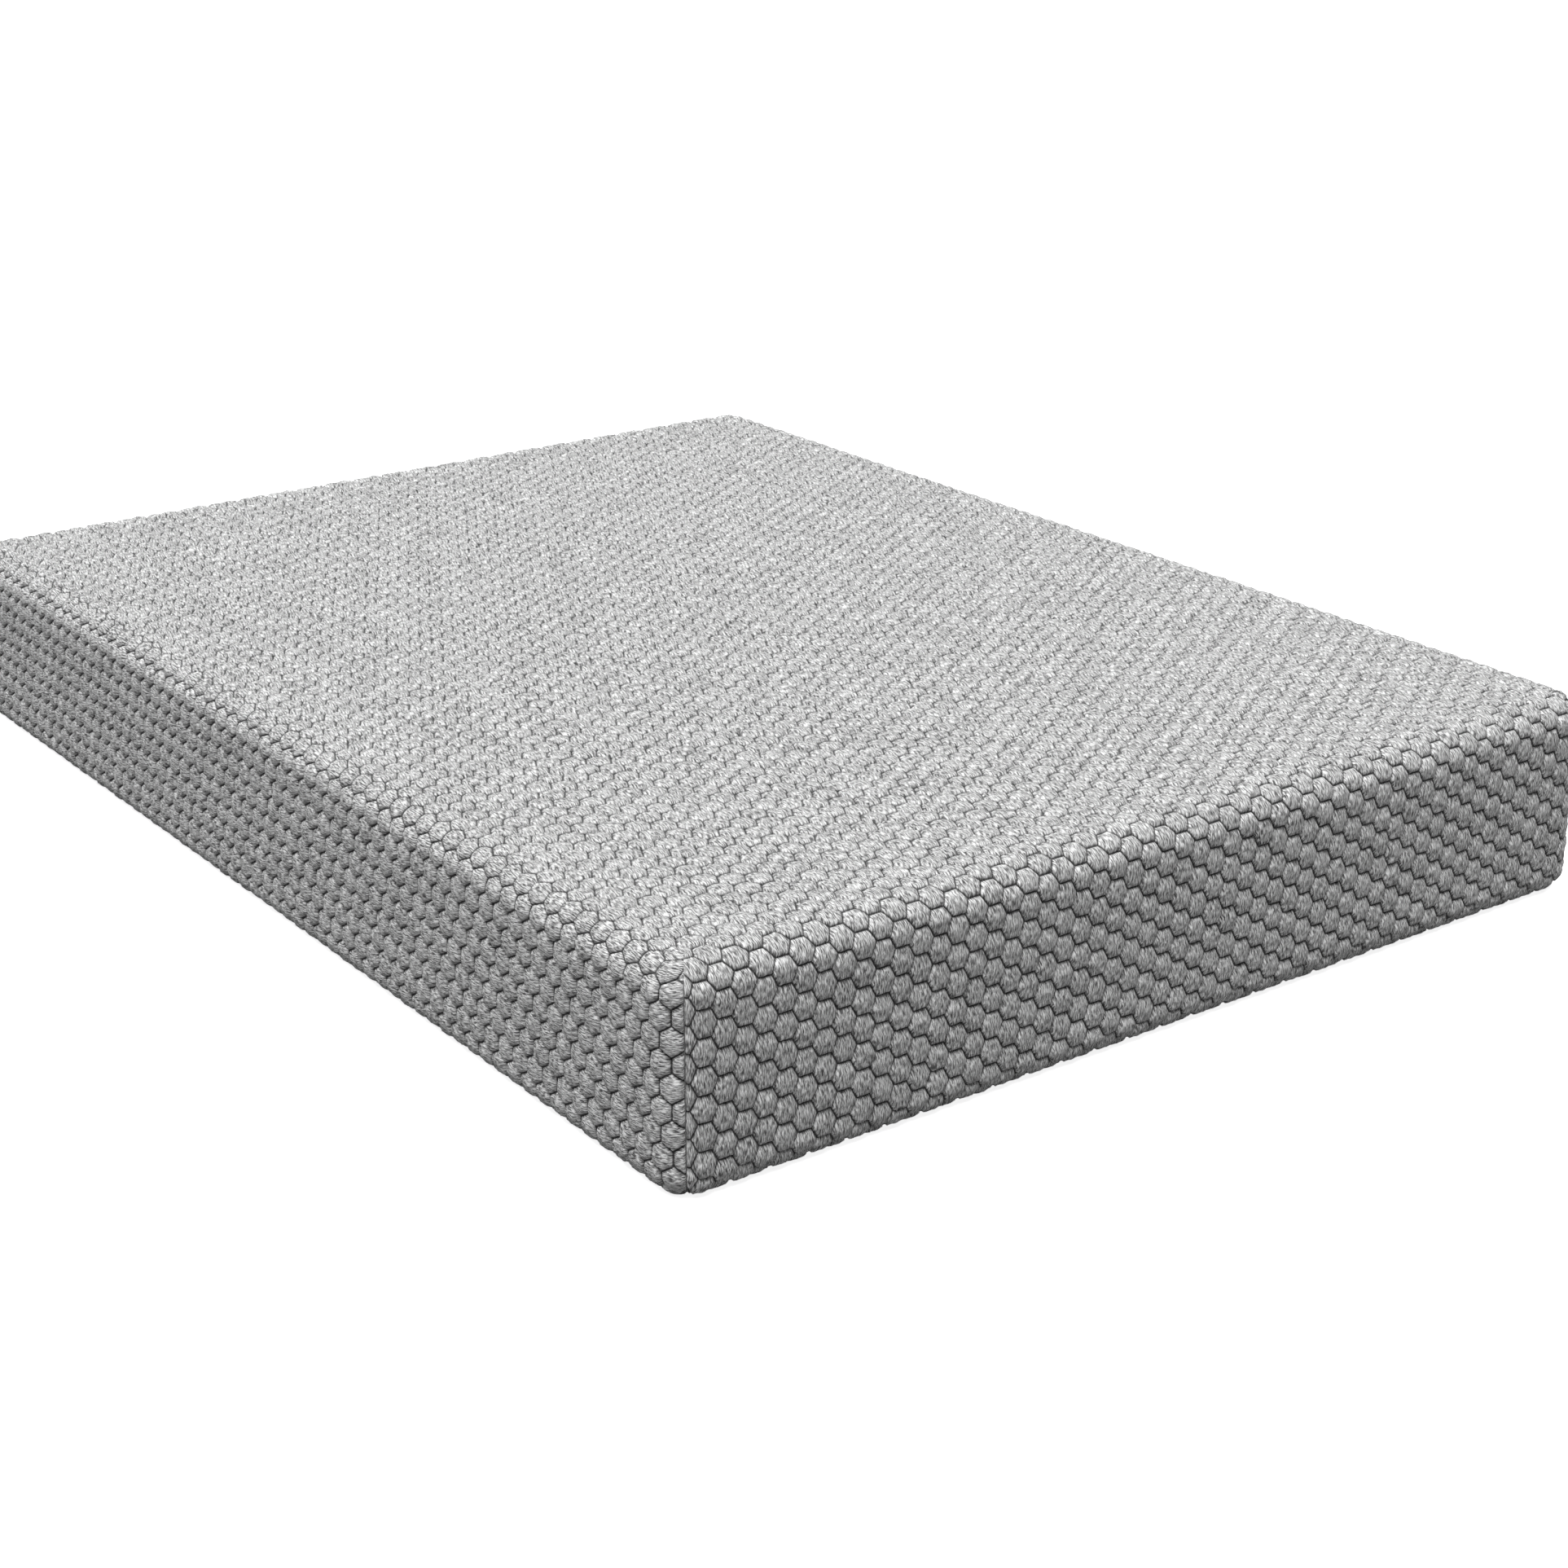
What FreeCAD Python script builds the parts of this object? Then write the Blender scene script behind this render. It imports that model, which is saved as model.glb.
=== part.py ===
import FreeCAD, Part
import Sketcher
import os
import re

# Memory foam mattress, queen size. Millimetres, +Z up. The origin is on the floor under the middle of
# the mattress, X runs across its width and Y along its length, with the head end at +Y.
#
# A one-piece stretch-knit cover wraps the top and the sides and turns under the mattress. A zip inset in
# the underside joins it to a flat base panel. Inside, a thin barrier sock holds three bonded foam layers.

# Each size that can be set by itself: its name in the sheet, its value, and what it measures.
DRIVING_SIZES = [
    ("mattress_width", 1524.0, "side to side"),
    ("mattress_length", 2032.0, "head to foot"),
    ("mattress_height", 290.0, "floor to top"),
    ("corner_radius", 48.0, "upright edges of the cover"),
    ("top_edge_radius", 42.0, "top edge of the cover"),
    ("base_edge_radius", 36.0, "bottom edge of the cover"),
    ("cover_wall", 6.0, "puffed knit, domes included"),
    ("fit_clearance", 0.4, "between soft pieces that are not bonded"),
    ("zip_inset", 84.0, "middle of the zip from the side of the mattress"),
    ("zip_corner_radius", 60.0, "corner of the zip, on its middle line"),
    ("trough_width", 22.0, "open strip between the hem and the base panel"),
    ("tape_width", 16.0, "one zip tape"),
    ("tape_thickness", 0.8, "one zip tape"),
    ("tape_gap", 1.0, "between the two tapes"),
    ("coil_width", 2.8, "one half of the coil"),
    ("coil_height", 1.8, "one half of the coil"),
    ("coil_gap", 0.2, "between the two halves where they mesh"),
    ("stitch_width", 1.0, "flattened seam thread"),
    ("stitch_height", 0.6, "flattened seam thread"),
    ("stitch_margin", 4.0, "stitch line from the edge of the tape"),
    ("zip_end_gap", 8.0, "between the two ends of the zip"),
    ("zip_end_setback", 60.0, "zip ends, from the corner of the zip"),
    ("stop_length", 4.0, "metal stop at an end of the coil"),
    ("stop_height", 2.4, "metal stop at an end of the coil"),
    ("patch_thickness", 0.8, "fabric patch under the zip ends"),
    ("slider_length", 15.0, "slider"),
    ("slider_lip", 1.3, "side lips of the slider"),
    ("slider_plate", 1.2, "plate of the slider"),
    ("slider_clearance", 0.3, "slider to coil and tape"),
    ("slider_park_gap", 3.0, "parked slider from the stop"),
    ("arch_span", 7.0, "arch that holds the pull tab"),
    ("arch_bar", 0.9, "arch that holds the pull tab"),
    ("arch_width", 2.4, "arch that holds the pull tab"),
    ("tab_length", 36.0, "pull tab, from its hinge"),
    ("tab_width", 9.0, "pull tab"),
    ("tab_thickness", 0.8, "pull tab"),
    ("tab_eye_side", 1.6, "metal at each side of the eye"),
    ("tab_corner_radius", 2.0, "corners of the pull tab"),
    ("tab_clearance", 0.3, "pull tab to the arch and the plate"),
    ("seam_width", 1.0, "closed corner seam"),
    ("seam_depth", 2.0, "closed corner seam"),
    ("seam_turn", 55.0, "corner seam, degrees round from the long side"),
    ("sock_wall", 1.5, "barrier sock"),
    ("sock_seam_width", 8.0, "closing seam of the barrier sock"),
    ("sock_seam_thickness", 0.8, "closing seam of the barrier sock"),
    ("sock_seam_inset", 120.0, "closing seam from the middle line of the zip, foot end"),
    ("sock_seam_margin", 40.0, "ends of the closing seam from the middle line of the zip"),
    ("memory_foam_thickness", 75.0, "slow-recovery foam"),
    ("transition_foam_thickness", 50.0, "transition foam"),
    ("glue_film", 0.4, "bond between two foam layers"),
]

# Sizes and places that follow from the driving ones, kept as formulas in the same sheet.
DERIVED_SIZES = [
    ("cavity_width", "mattress_width - 2 * cover_wall"),
    ("cavity_length", "mattress_length - 2 * cover_wall"),
    ("cavity_top", "mattress_height - cover_wall"),
    ("tape_top", "cover_wall + tape_thickness"),
    ("sock_bottom", "tape_top + max(stitch_height; sock_seam_thickness) + fit_clearance"),
    ("sock_top", "cavity_top - fit_clearance"),
    ("sock_width", "cavity_width - 2 * fit_clearance"),
    ("sock_length", "cavity_length - 2 * fit_clearance"),
    ("sock_inset", "cover_wall + fit_clearance"),
    ("foam_gap", "sock_wall + fit_clearance"),
    ("foam_inset", "sock_inset + foam_gap"),
    ("foam_width", "mattress_width - 2 * foam_inset"),
    ("foam_length", "mattress_length - 2 * foam_inset"),
    ("foam_bottom", "sock_bottom + foam_gap"),
    ("foam_top", "sock_top - foam_gap"),
    ("memory_foam_bottom", "foam_top - memory_foam_thickness"),
    ("transition_foam_top", "memory_foam_bottom - glue_film"),
    ("transition_foam_bottom", "transition_foam_top - transition_foam_thickness"),
    ("core_top", "transition_foam_bottom - glue_film"),
    ("zip_width", "mattress_width - 2 * zip_inset"),
    ("zip_length", "mattress_length - 2 * zip_inset"),
    ("zip_side", "zip_width / 2"),
    ("zip_ends_place", "zip_corner_radius + zip_end_setback - zip_length / 2"),
    ("coil_end_gap", "zip_end_gap + 2 * stop_length"),
    ("coil_bottom", "cover_wall - coil_height"),
    ("stop_bottom", "cover_wall - stop_height"),
    ("patch_bottom", "stop_bottom - patch_thickness"),
    ("patch_length", "coil_end_gap + slider_park_gap"),
    ("coil_pair_width", "2 * coil_width + coil_gap"),
    ("slider_channel", "coil_pair_width + 2 * slider_clearance"),
    ("slider_width", "slider_channel + 2 * slider_lip"),
    ("slider_top", "cover_wall - slider_clearance"),
    ("channel_bottom", "coil_bottom - slider_clearance"),
    ("plate_bottom", "channel_bottom - slider_plate"),
    ("arch_room", "tab_thickness + 2 * tab_clearance"),
    ("arch_bottom", "plate_bottom - arch_room - arch_bar"),
    ("slider_height", "slider_top - arch_bottom"),
    ("slider_place", "zip_ends_place + coil_end_gap / 2 + slider_park_gap + slider_length / 2"),
    ("tab_axis_height", "plate_bottom - arch_room / 2"),
    ("tab_eye_width", "arch_width + 2 * tab_clearance"),
    ("tab_neck_width", "tab_eye_width + 2 * tab_eye_side"),
    ("tab_eye_length", "arch_span / 2 + arch_bar + 2 * tab_clearance"),
]

CORNERS = [("foot_left", -1, -1), ("foot_right", 1, -1), ("head_left", -1, 1), ("head_right", 1, 1)]


def make_sheet(doc):
    """The sheet of sizes: plain numbers and formulas, each under its own name."""
    sheet = doc.addObject("Spreadsheet::Sheet", "sizes")
    for row, (name, value, note) in enumerate(DRIVING_SIZES, start=1):
        sheet.set(f"A{row}", name)
        sheet.set(f"B{row}", str(value))
        sheet.set(f"C{row}", note)
        sheet.setAlias(f"B{row}", name)
    for row, (name, formula) in enumerate(DERIVED_SIZES, start=len(DRIVING_SIZES) + 1):
        sheet.set(f"A{row}", name)
        sheet.set(f"B{row}", "=" + formula)
        sheet.setAlias(f"B{row}", name)
    doc.recompute()
    return sheet


class Workshop:
    """Makes bodies whose sizes are bound to the sheet."""

    def __init__(self, doc, sheet):
        self.doc = doc
        self.sheet = sheet
        self.names = {row[0] for row in DRIVING_SIZES + DERIVED_SIZES}

    def bound(self, formula):
        """The formula with each of its names pointed at the sheet."""
        return re.sub(r"\w+", self.pointed, formula)

    def pointed(self, found):
        word = found.group()
        return f"{self.sheet.Name}.{word}" if word in self.names else word

    def bind(self, thing, path, formula):
        thing.setExpression(path, self.bound(formula))

    def new_body(self, label):
        body = self.doc.addObject("PartDesign::Body", label)
        body.Label = label
        return body

    def place(self, thing, x=None, y=None, z=None):
        """Binds the place of a sub-part, one formula for each direction that is not zero."""
        for path, formula in (("x", x), ("y", y), ("z", z)):
            if formula is not None:
                self.bind(thing, f"Placement.Base.{path}", formula)

    def new_sketch(self, body, name):
        """A sketch on the body's own horizontal plane."""
        sketch = body.newObject("Sketcher::SketchObject", name)
        plane = next(item for item in body.Origin.OriginFeatures if item.Role == "XY_Plane")
        sketch.AttachmentSupport = [(plane, "")]
        sketch.MapMode = "FlatFace"
        return sketch

    def draw_rectangle(self, sketch, name, width, length, centre_y="0"):
        """A rectangle centred on the sketch's Y axis, with its middle at centre_y."""
        first = sketch.GeometryCount
        half = 10.0
        points = [(-half, -half), (half, -half), (half, half), (-half, half)]
        vectors = [FreeCAD.Vector(x, y, 0) for x, y in points]
        for index in range(4):
            sketch.addGeometry(Part.LineSegment(vectors[index], vectors[(index + 1) % 4]), False)
        for index in range(4):
            following = first + (index + 1) % 4
            sketch.addConstraint(Sketcher.Constraint("Coincident", first + index, 2, following, 1))
        for index, kind in ((1, "Vertical"), (2, "Horizontal"), (3, "Vertical")):
            sketch.addConstraint(Sketcher.Constraint(kind, first + index))
        sketch.addConstraint(Sketcher.Constraint("Symmetric", first, 1, first, 2, -2))
        self.dimension(sketch, "DistanceX", (first, 1, first, 2), f"{name}_width", width)
        self.dimension(sketch, "DistanceY", (first + 1, 1, first + 1, 2), f"{name}_length", length)
        low = f"({centre_y}) - ({length}) / 2"
        self.dimension(sketch, "DistanceY", (-1, 1, first, 1), f"{name}_place", low)

    def dimension(self, sketch, kind, ends, name, formula):
        index = sketch.addConstraint(Sketcher.Constraint(kind, *ends, 1.0))
        sketch.renameConstraint(index, name)
        self.bind(sketch, f"Constraints.{name}", formula)

    def pad(self, body, sketch, height):
        pad = body.newObject("PartDesign::Pad", sketch.Name + "_pad")
        pad.Profile = sketch
        self.bind(pad, "Length", height)
        return pad

    def fillet(self, body, base, edges, radius, name):
        """Rounds the chosen edges of the body's last feature."""
        fillet = body.newObject("PartDesign::Fillet", name)
        fillet.Base = (base, edges)
        self.bind(fillet, "Radius", radius)
        self.doc.recompute()
        return fillet

    def block(self, label, width, length, bottom, top, corner, top_edge=None, base_edge=None):
        """A solid block, its upright edges rounded, and its top and bottom edges where asked."""
        body = self.new_body(label)
        self.place(body, z=bottom)
        sketch = self.new_sketch(body, label + "_outline")
        self.draw_rectangle(sketch, "outline", width, length)
        solid = self.pad(body, sketch, f"({top}) - ({bottom})")
        self.doc.recompute()
        solid = self.fillet(body, solid, upright_edges(solid.Shape), corner, label + "_corners")
        if top_edge is not None:
            edges = level_edges(solid.Shape, solid.Shape.BoundBox.ZMax)
            solid = self.fillet(body, solid, edges, top_edge, label + "_top_edge")
        if base_edge is not None:
            edges = level_edges(solid.Shape, solid.Shape.BoundBox.ZMin)
            solid = self.fillet(body, solid, edges, base_edge, label + "_base_edge")
        return body

    def cut(self, label, base, tool):
        cut = self.doc.addObject("Part::Cut", label)
        cut.Label = label
        cut.Base = base
        cut.Tool = tool
        return cut

    def box(self, label, sizes, place):
        """A box from its three sizes and its low corner."""
        box = self.doc.addObject("Part::Box", label)
        box.Label = label
        for path, formula in zip(("Length", "Width", "Height"), sizes):
            self.bind(box, path, formula)
        self.place(box, *place)
        return box


def upright_edges(shape):
    """Names of the straight edges that run straight up."""
    names = []
    for index, edge in enumerate(shape.Edges, start=1):
        box = edge.BoundBox
        if box.ZLength > 1e-3 and box.XLength < 1e-6 and box.YLength < 1e-6:
            names.append(f"Edge{index}")
    return names


def level_edges(shape, level):
    """Names of the edges that lie flat at a level."""
    names = []
    for index, edge in enumerate(shape.Edges, start=1):
        box = edge.BoundBox
        if abs(box.ZMin - level) < 1e-4 and abs(box.ZMax - level) < 1e-4:
            names.append(f"Edge{index}")
    return names


def corner_seams(shop):
    """The closed upright seam at each corner, a thin strip let into the cover."""
    seams = []
    reach = "(corner_radius - seam_depth)"
    for name, side, end in CORNERS:
        seam = shop.box(
            "corner_seam_" + name,
            ("seam_depth", "seam_width", "mattress_height - top_edge_radius - base_edge_radius"),
            (
                f"{side} * (mattress_width / 2 - corner_radius + {reach} * cos(seam_turn))"
                f" + {end} * sin(seam_turn) * seam_width / 2",
                f"{end} * (mattress_length / 2 - corner_radius + {reach} * sin(seam_turn))"
                f" - {side} * cos(seam_turn) * seam_width / 2",
                "base_edge_radius",
            ),
        )
        seam.Placement.Rotation = FreeCAD.Rotation(FreeCAD.Vector(0, 0, 1), 0)
        turn = f"{side * end} * seam_turn" if side > 0 else f"180 - {end} * seam_turn"
        shop.bind(seam, "Placement.Rotation.Angle", turn)
        seams.append(seam)
    return seams


def cover(shop, seams):
    """The knit cover: a hollow block with an opening in its underside, and a slot for each seam."""
    outer = shop.block(
        "cover_outside", "mattress_width", "mattress_length", "0", "mattress_height",
        "corner_radius", "top_edge_radius", "base_edge_radius",
    )
    cavity = shop.block(
        "cover_inside", "cavity_width", "cavity_length", "cover_wall", "cavity_top",
        "corner_radius - cover_wall", "top_edge_radius - cover_wall", "base_edge_radius - cover_wall",
    )
    opening = shop.block(
        "cover_opening", "zip_width + trough_width", "zip_length + trough_width", "-cover_wall",
        "2 * cover_wall", "zip_corner_radius + trough_width / 2",
    )
    hollow = shop.cut("cover_hollow", outer, cavity)
    hemmed = shop.cut("cover_hemmed", hollow, opening)
    slots = shop.doc.addObject("Part::Compound", "seam_slots")
    slots.Links = seams
    return shop.cut("cover_knit", hemmed, slots)


def base_panel(shop):
    """The flat underside panel inside the zip."""
    return shop.block(
        "base_panel", "zip_width - trough_width", "zip_length - trough_width", "0", "cover_wall",
        "zip_corner_radius - trough_width / 2",
    )


def zip_band(shop, label, near, far, bottom, height, end_gap):
    """A flat band that follows the zip, from one offset off its middle line to the other."""
    bands = []
    for side, offset in (("outer", far), ("inner", near)):
        bands.append(shop.block(
            f"{label}_{side}", f"zip_width + 2 * ({offset})", f"zip_length + 2 * ({offset})",
            bottom, f"({bottom}) + ({height})", f"zip_corner_radius + ({offset})",
        ))
    ring = shop.cut(label + "_ring", *bands)
    gap = shop.box(
        label + "_gap", ("zip_inset", end_gap, f"2 * ({height})"),
        ("zip_side - zip_inset / 2", f"zip_ends_place - ({end_gap}) / 2", f"({bottom}) - ({height}) / 2"),
    )
    return shop.cut(label, ring, gap)


def zip_bands(shop):
    """Both tapes, both halves of the coil and both stitch lines: cover side out, base side in."""
    bands = []
    for side, sign in (("cover", 1), ("base", -1)):
        spans = (
            ("zip_tape", "tape_gap / 2", "tape_gap / 2 + tape_width",
             "cover_wall", "tape_thickness", "zip_end_gap"),
            ("zip_coil", "coil_gap / 2", "coil_gap / 2 + coil_width",
             "coil_bottom", "coil_height", "coil_end_gap"),
            ("zip_stitch", "tape_gap / 2 + tape_width - stitch_margin - stitch_width",
             "tape_gap / 2 + tape_width - stitch_margin", "tape_top", "stitch_height", "zip_end_gap"),
        )
        for name, start, end, bottom, height, gap in spans:
            near, far = (start, end) if sign > 0 else (f"-({end})", f"-({start})")
            bands.append(zip_band(shop, f"{name}_{side}", near, far, bottom, height, gap))
    return bands


def zip_ends(shop):
    """The stop at each end of the coil, and the fabric patch that covers the place where they meet."""
    stop_sizes = ("coil_pair_width", "stop_length", "stop_height")
    stop_side = "zip_side - coil_pair_width / 2"
    return [
        shop.box("zip_start_stop", stop_sizes, (stop_side, "zip_ends_place + zip_end_gap / 2", "stop_bottom")),
        shop.box("zip_end_stop", stop_sizes,
                 (stop_side, "zip_ends_place - zip_end_gap / 2 - stop_length", "stop_bottom")),
        shop.box("zip_end_patch", ("trough_width", "patch_length", "patch_thickness"),
                 ("zip_side - trough_width / 2", "zip_ends_place - patch_length / 2", "patch_bottom")),
    ]


def zip_slider(shop):
    """The slider: a plate under the coil with a lip up each side, and an arch under the plate."""
    body = shop.new_body("zip_slider")
    shop.place(body, "zip_side", "slider_place", "arch_bottom")
    sketch = shop.new_sketch(body, "slider_outline")
    shop.draw_rectangle(sketch, "outline", "slider_width", "slider_length")
    shop.pad(body, sketch, "slider_height")
    cuts = (
        ("coil_channel", "slider_channel", "2 * slider_length", "channel_bottom", "slider_top + slider_lip"),
        ("arch_front", "2 * slider_width", "slider_length", "arch_bottom - slider_lip", "plate_bottom"),
        ("arch_back", "2 * slider_width", "slider_length", "arch_bottom - slider_lip", "plate_bottom"),
        ("arch_left", "slider_width", "2 * slider_length", "arch_bottom - slider_lip", "plate_bottom"),
        ("arch_right", "slider_width", "2 * slider_length", "arch_bottom - slider_lip", "plate_bottom"),
        ("tab_room", "slider_width", "arch_span - 2 * arch_bar", "arch_bottom + arch_bar", "plate_bottom"),
    )
    middles = {
        "arch_front": ("0", "arch_span / 2 + slider_length / 2"),
        "arch_back": ("0", "-arch_span / 2 - slider_length / 2"),
        "arch_left": ("-arch_width / 2 - slider_width / 2", "0"),
        "arch_right": ("arch_width / 2 + slider_width / 2", "0"),
    }
    for name, width, length, bottom, top in cuts:
        middle_x, middle_y = middles.get(name, ("0", "0"))
        box = body.newObject("PartDesign::SubtractiveBox", "slider_" + name)
        shop.bind(box, "Length", width)
        shop.bind(box, "Width", length)
        shop.bind(box, "Height", f"({top}) - ({bottom})")
        shop.place(box, f"{middle_x} - ({width}) / 2", f"{middle_y} - ({length}) / 2",
                   f"({bottom}) - arch_bottom")
    return body


def zip_pull_tab(shop):
    """The pull tab: a thin blade, two side bars that make its eye, and a round bar as its hinge."""
    body = shop.new_body("zip_pull_tab")
    shop.place(body, "zip_side", "slider_place", "tab_axis_height - tab_thickness / 2")
    sketch = shop.new_sketch(body, "tab_blade")
    blade_length = "(tab_length - tab_eye_length)"
    shop.draw_rectangle(sketch, "blade", "tab_width", blade_length, f"tab_length - {blade_length} / 2")
    blade = shop.pad(body, sketch, "tab_thickness")
    shop.doc.recompute()
    shop.fillet(body, blade, upright_edges(blade.Shape), "tab_corner_radius", "tab_corners")
    for name, place in (("left", "-tab_neck_width / 2"), ("right", "tab_eye_width / 2")):
        bar = body.newObject("PartDesign::AdditiveBox", "tab_side_" + name)
        shop.bind(bar, "Length", "tab_eye_side")
        shop.bind(bar, "Width", "tab_eye_length + tab_corner_radius")
        shop.bind(bar, "Height", "tab_thickness")
        shop.place(bar, place)
    hinge = body.newObject("PartDesign::AdditiveCylinder", "tab_hinge")
    shop.bind(hinge, "Radius", "tab_thickness / 2")
    shop.bind(hinge, "Height", "tab_neck_width")
    hinge.Placement.Rotation = FreeCAD.Rotation(FreeCAD.Vector(0, 1, 0), 90)
    shop.place(hinge, "-tab_neck_width / 2", z="tab_thickness / 2")
    return body


def barrier_sock(shop):
    """The thin barrier sock round the foam, closed all over, and the seam that closes it."""
    outside = shop.block(
        "sock_outside", "sock_width", "sock_length", "sock_bottom", "sock_top",
        "corner_radius - sock_inset", "top_edge_radius - sock_inset", "base_edge_radius - sock_inset",
    )
    inside = shop.block(
        "sock_inside", "sock_width - 2 * sock_wall", "sock_length - 2 * sock_wall",
        "sock_bottom + sock_wall", "sock_top - sock_wall", "corner_radius - sock_inset - sock_wall",
        "top_edge_radius - sock_inset - sock_wall", "base_edge_radius - sock_inset - sock_wall",
    )
    seam_length = "(zip_width - 2 * sock_seam_margin)"
    seam = shop.box(
        "barrier_sock_seam", (seam_length, "sock_seam_width", "sock_seam_thickness"),
        (f"-{seam_length} / 2", "sock_seam_inset - zip_length / 2", "sock_bottom - sock_seam_thickness"),
    )
    return [shop.cut("barrier_sock", outside, inside), seam]


def foam_layers(shop):
    """The three foam layers and the film that bonds each pair."""
    corner = "corner_radius - foam_inset"
    layers = (
        ("memory_foam_layer", "memory_foam_bottom", "foam_top", "top_edge_radius - foam_inset", None),
        ("glue_film_upper", "transition_foam_top", "memory_foam_bottom", None, None),
        ("transition_foam_layer", "transition_foam_bottom", "transition_foam_top", None, None),
        ("glue_film_lower", "core_top", "transition_foam_bottom", None, None),
        ("support_foam_core", "foam_bottom", "core_top", None, "base_edge_radius - foam_inset"),
    )
    return [
        shop.block(label, "foam_width", "foam_length", bottom, top, corner, top_edge, base_edge)
        for label, bottom, top, top_edge, base_edge in layers
    ]


def check(doc, parts):
    """Stops the build if any object failed or any sub-part has no sound solid."""
    for thing in doc.Objects:
        if "Invalid" in thing.State or "Error" in thing.State:
            raise RuntimeError(f"{thing.Label} failed: {thing.State}")
    for part in parts:
        shape = part.Shape
        if shape.isNull() or not shape.isValid() or not shape.Solids:
            raise RuntimeError(f"{part.Label} has no sound solid")


def main():
    doc = FreeCAD.newDocument("memory_foam_mattress")
    shop = Workshop(doc, make_sheet(doc))
    seams = corner_seams(shop)
    parts = [cover(shop, seams), *seams, base_panel(shop)]
    parts += [*zip_bands(shop), *zip_ends(shop), zip_slider(shop), zip_pull_tab(shop)]
    parts += [*barrier_sock(shop), *foam_layers(shop)]
    doc.recompute()
    check(doc, parts)
    os.makedirs("parts", exist_ok=True)
    for part in parts:
        part.Shape.exportStep(os.path.join("parts", part.Label + ".step"))
        box = part.Shape.BoundBox
        print(f"{part.Label}: {len(part.Shape.Solids)} solid, {part.Shape.Volume:.1f} mm3, "
              f"z {box.ZMin:.2f} to {box.ZMax:.2f}")


main()
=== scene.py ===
"""Memory foam mattress: the visual model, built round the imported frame.

A puffed hexagon stretch-knit cover in one piece over three bonded foam layers, closed under its edge by
a zip. All lengths are in metres, +Z is up, and the origin is on the floor under the middle.
"""

import logging
import math
from dataclasses import dataclass, replace
from enum import Enum

import bpy
import numpy as np
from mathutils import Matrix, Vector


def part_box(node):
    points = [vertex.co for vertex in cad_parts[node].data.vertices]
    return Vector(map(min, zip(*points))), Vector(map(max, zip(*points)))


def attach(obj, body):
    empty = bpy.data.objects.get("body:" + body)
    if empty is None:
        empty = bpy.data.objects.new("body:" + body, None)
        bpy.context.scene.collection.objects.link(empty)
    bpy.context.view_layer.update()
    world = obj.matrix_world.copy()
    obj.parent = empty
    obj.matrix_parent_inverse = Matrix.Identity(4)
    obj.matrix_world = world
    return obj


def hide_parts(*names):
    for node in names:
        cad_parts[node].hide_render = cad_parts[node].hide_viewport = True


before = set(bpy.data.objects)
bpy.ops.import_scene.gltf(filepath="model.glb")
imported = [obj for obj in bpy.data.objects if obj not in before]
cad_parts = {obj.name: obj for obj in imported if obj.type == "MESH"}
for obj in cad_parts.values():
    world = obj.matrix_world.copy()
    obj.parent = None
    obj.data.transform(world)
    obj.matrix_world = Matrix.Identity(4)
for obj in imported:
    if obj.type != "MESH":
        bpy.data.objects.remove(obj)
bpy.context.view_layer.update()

LOG = logging.getLogger("mattress")
MATTRESS_BODY = "mattress"
MM = 0.001
ZIP_CORNER = 60 * MM
TAPE_MARGIN = 0.5 * MM

Array = np.ndarray
Mesh = bpy.types.Mesh
Node = bpy.types.Node
NodeTree = bpy.types.NodeTree
Socket = bpy.types.NodeSocket
Object = bpy.types.Object
Material = bpy.types.Material


def smoothstep(low: float, high: float, x: Array) -> Array:
    """A smooth step from 0 at low to 1 at high.

    Args:
        low: Where the step starts.
        high: Where the step ends.
        x: The values to step.

    Returns:
        The stepped values, from 0 to 1.
    """
    t = np.clip((x - low) / (high - low), 0.0, 1.0)
    return t * t * (3.0 - 2.0 * t)


class Flap(Enum):
    """Which part of the one-piece net a point of the cover lies on."""

    TOP = 0
    END = 1
    SIDE = 2


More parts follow.
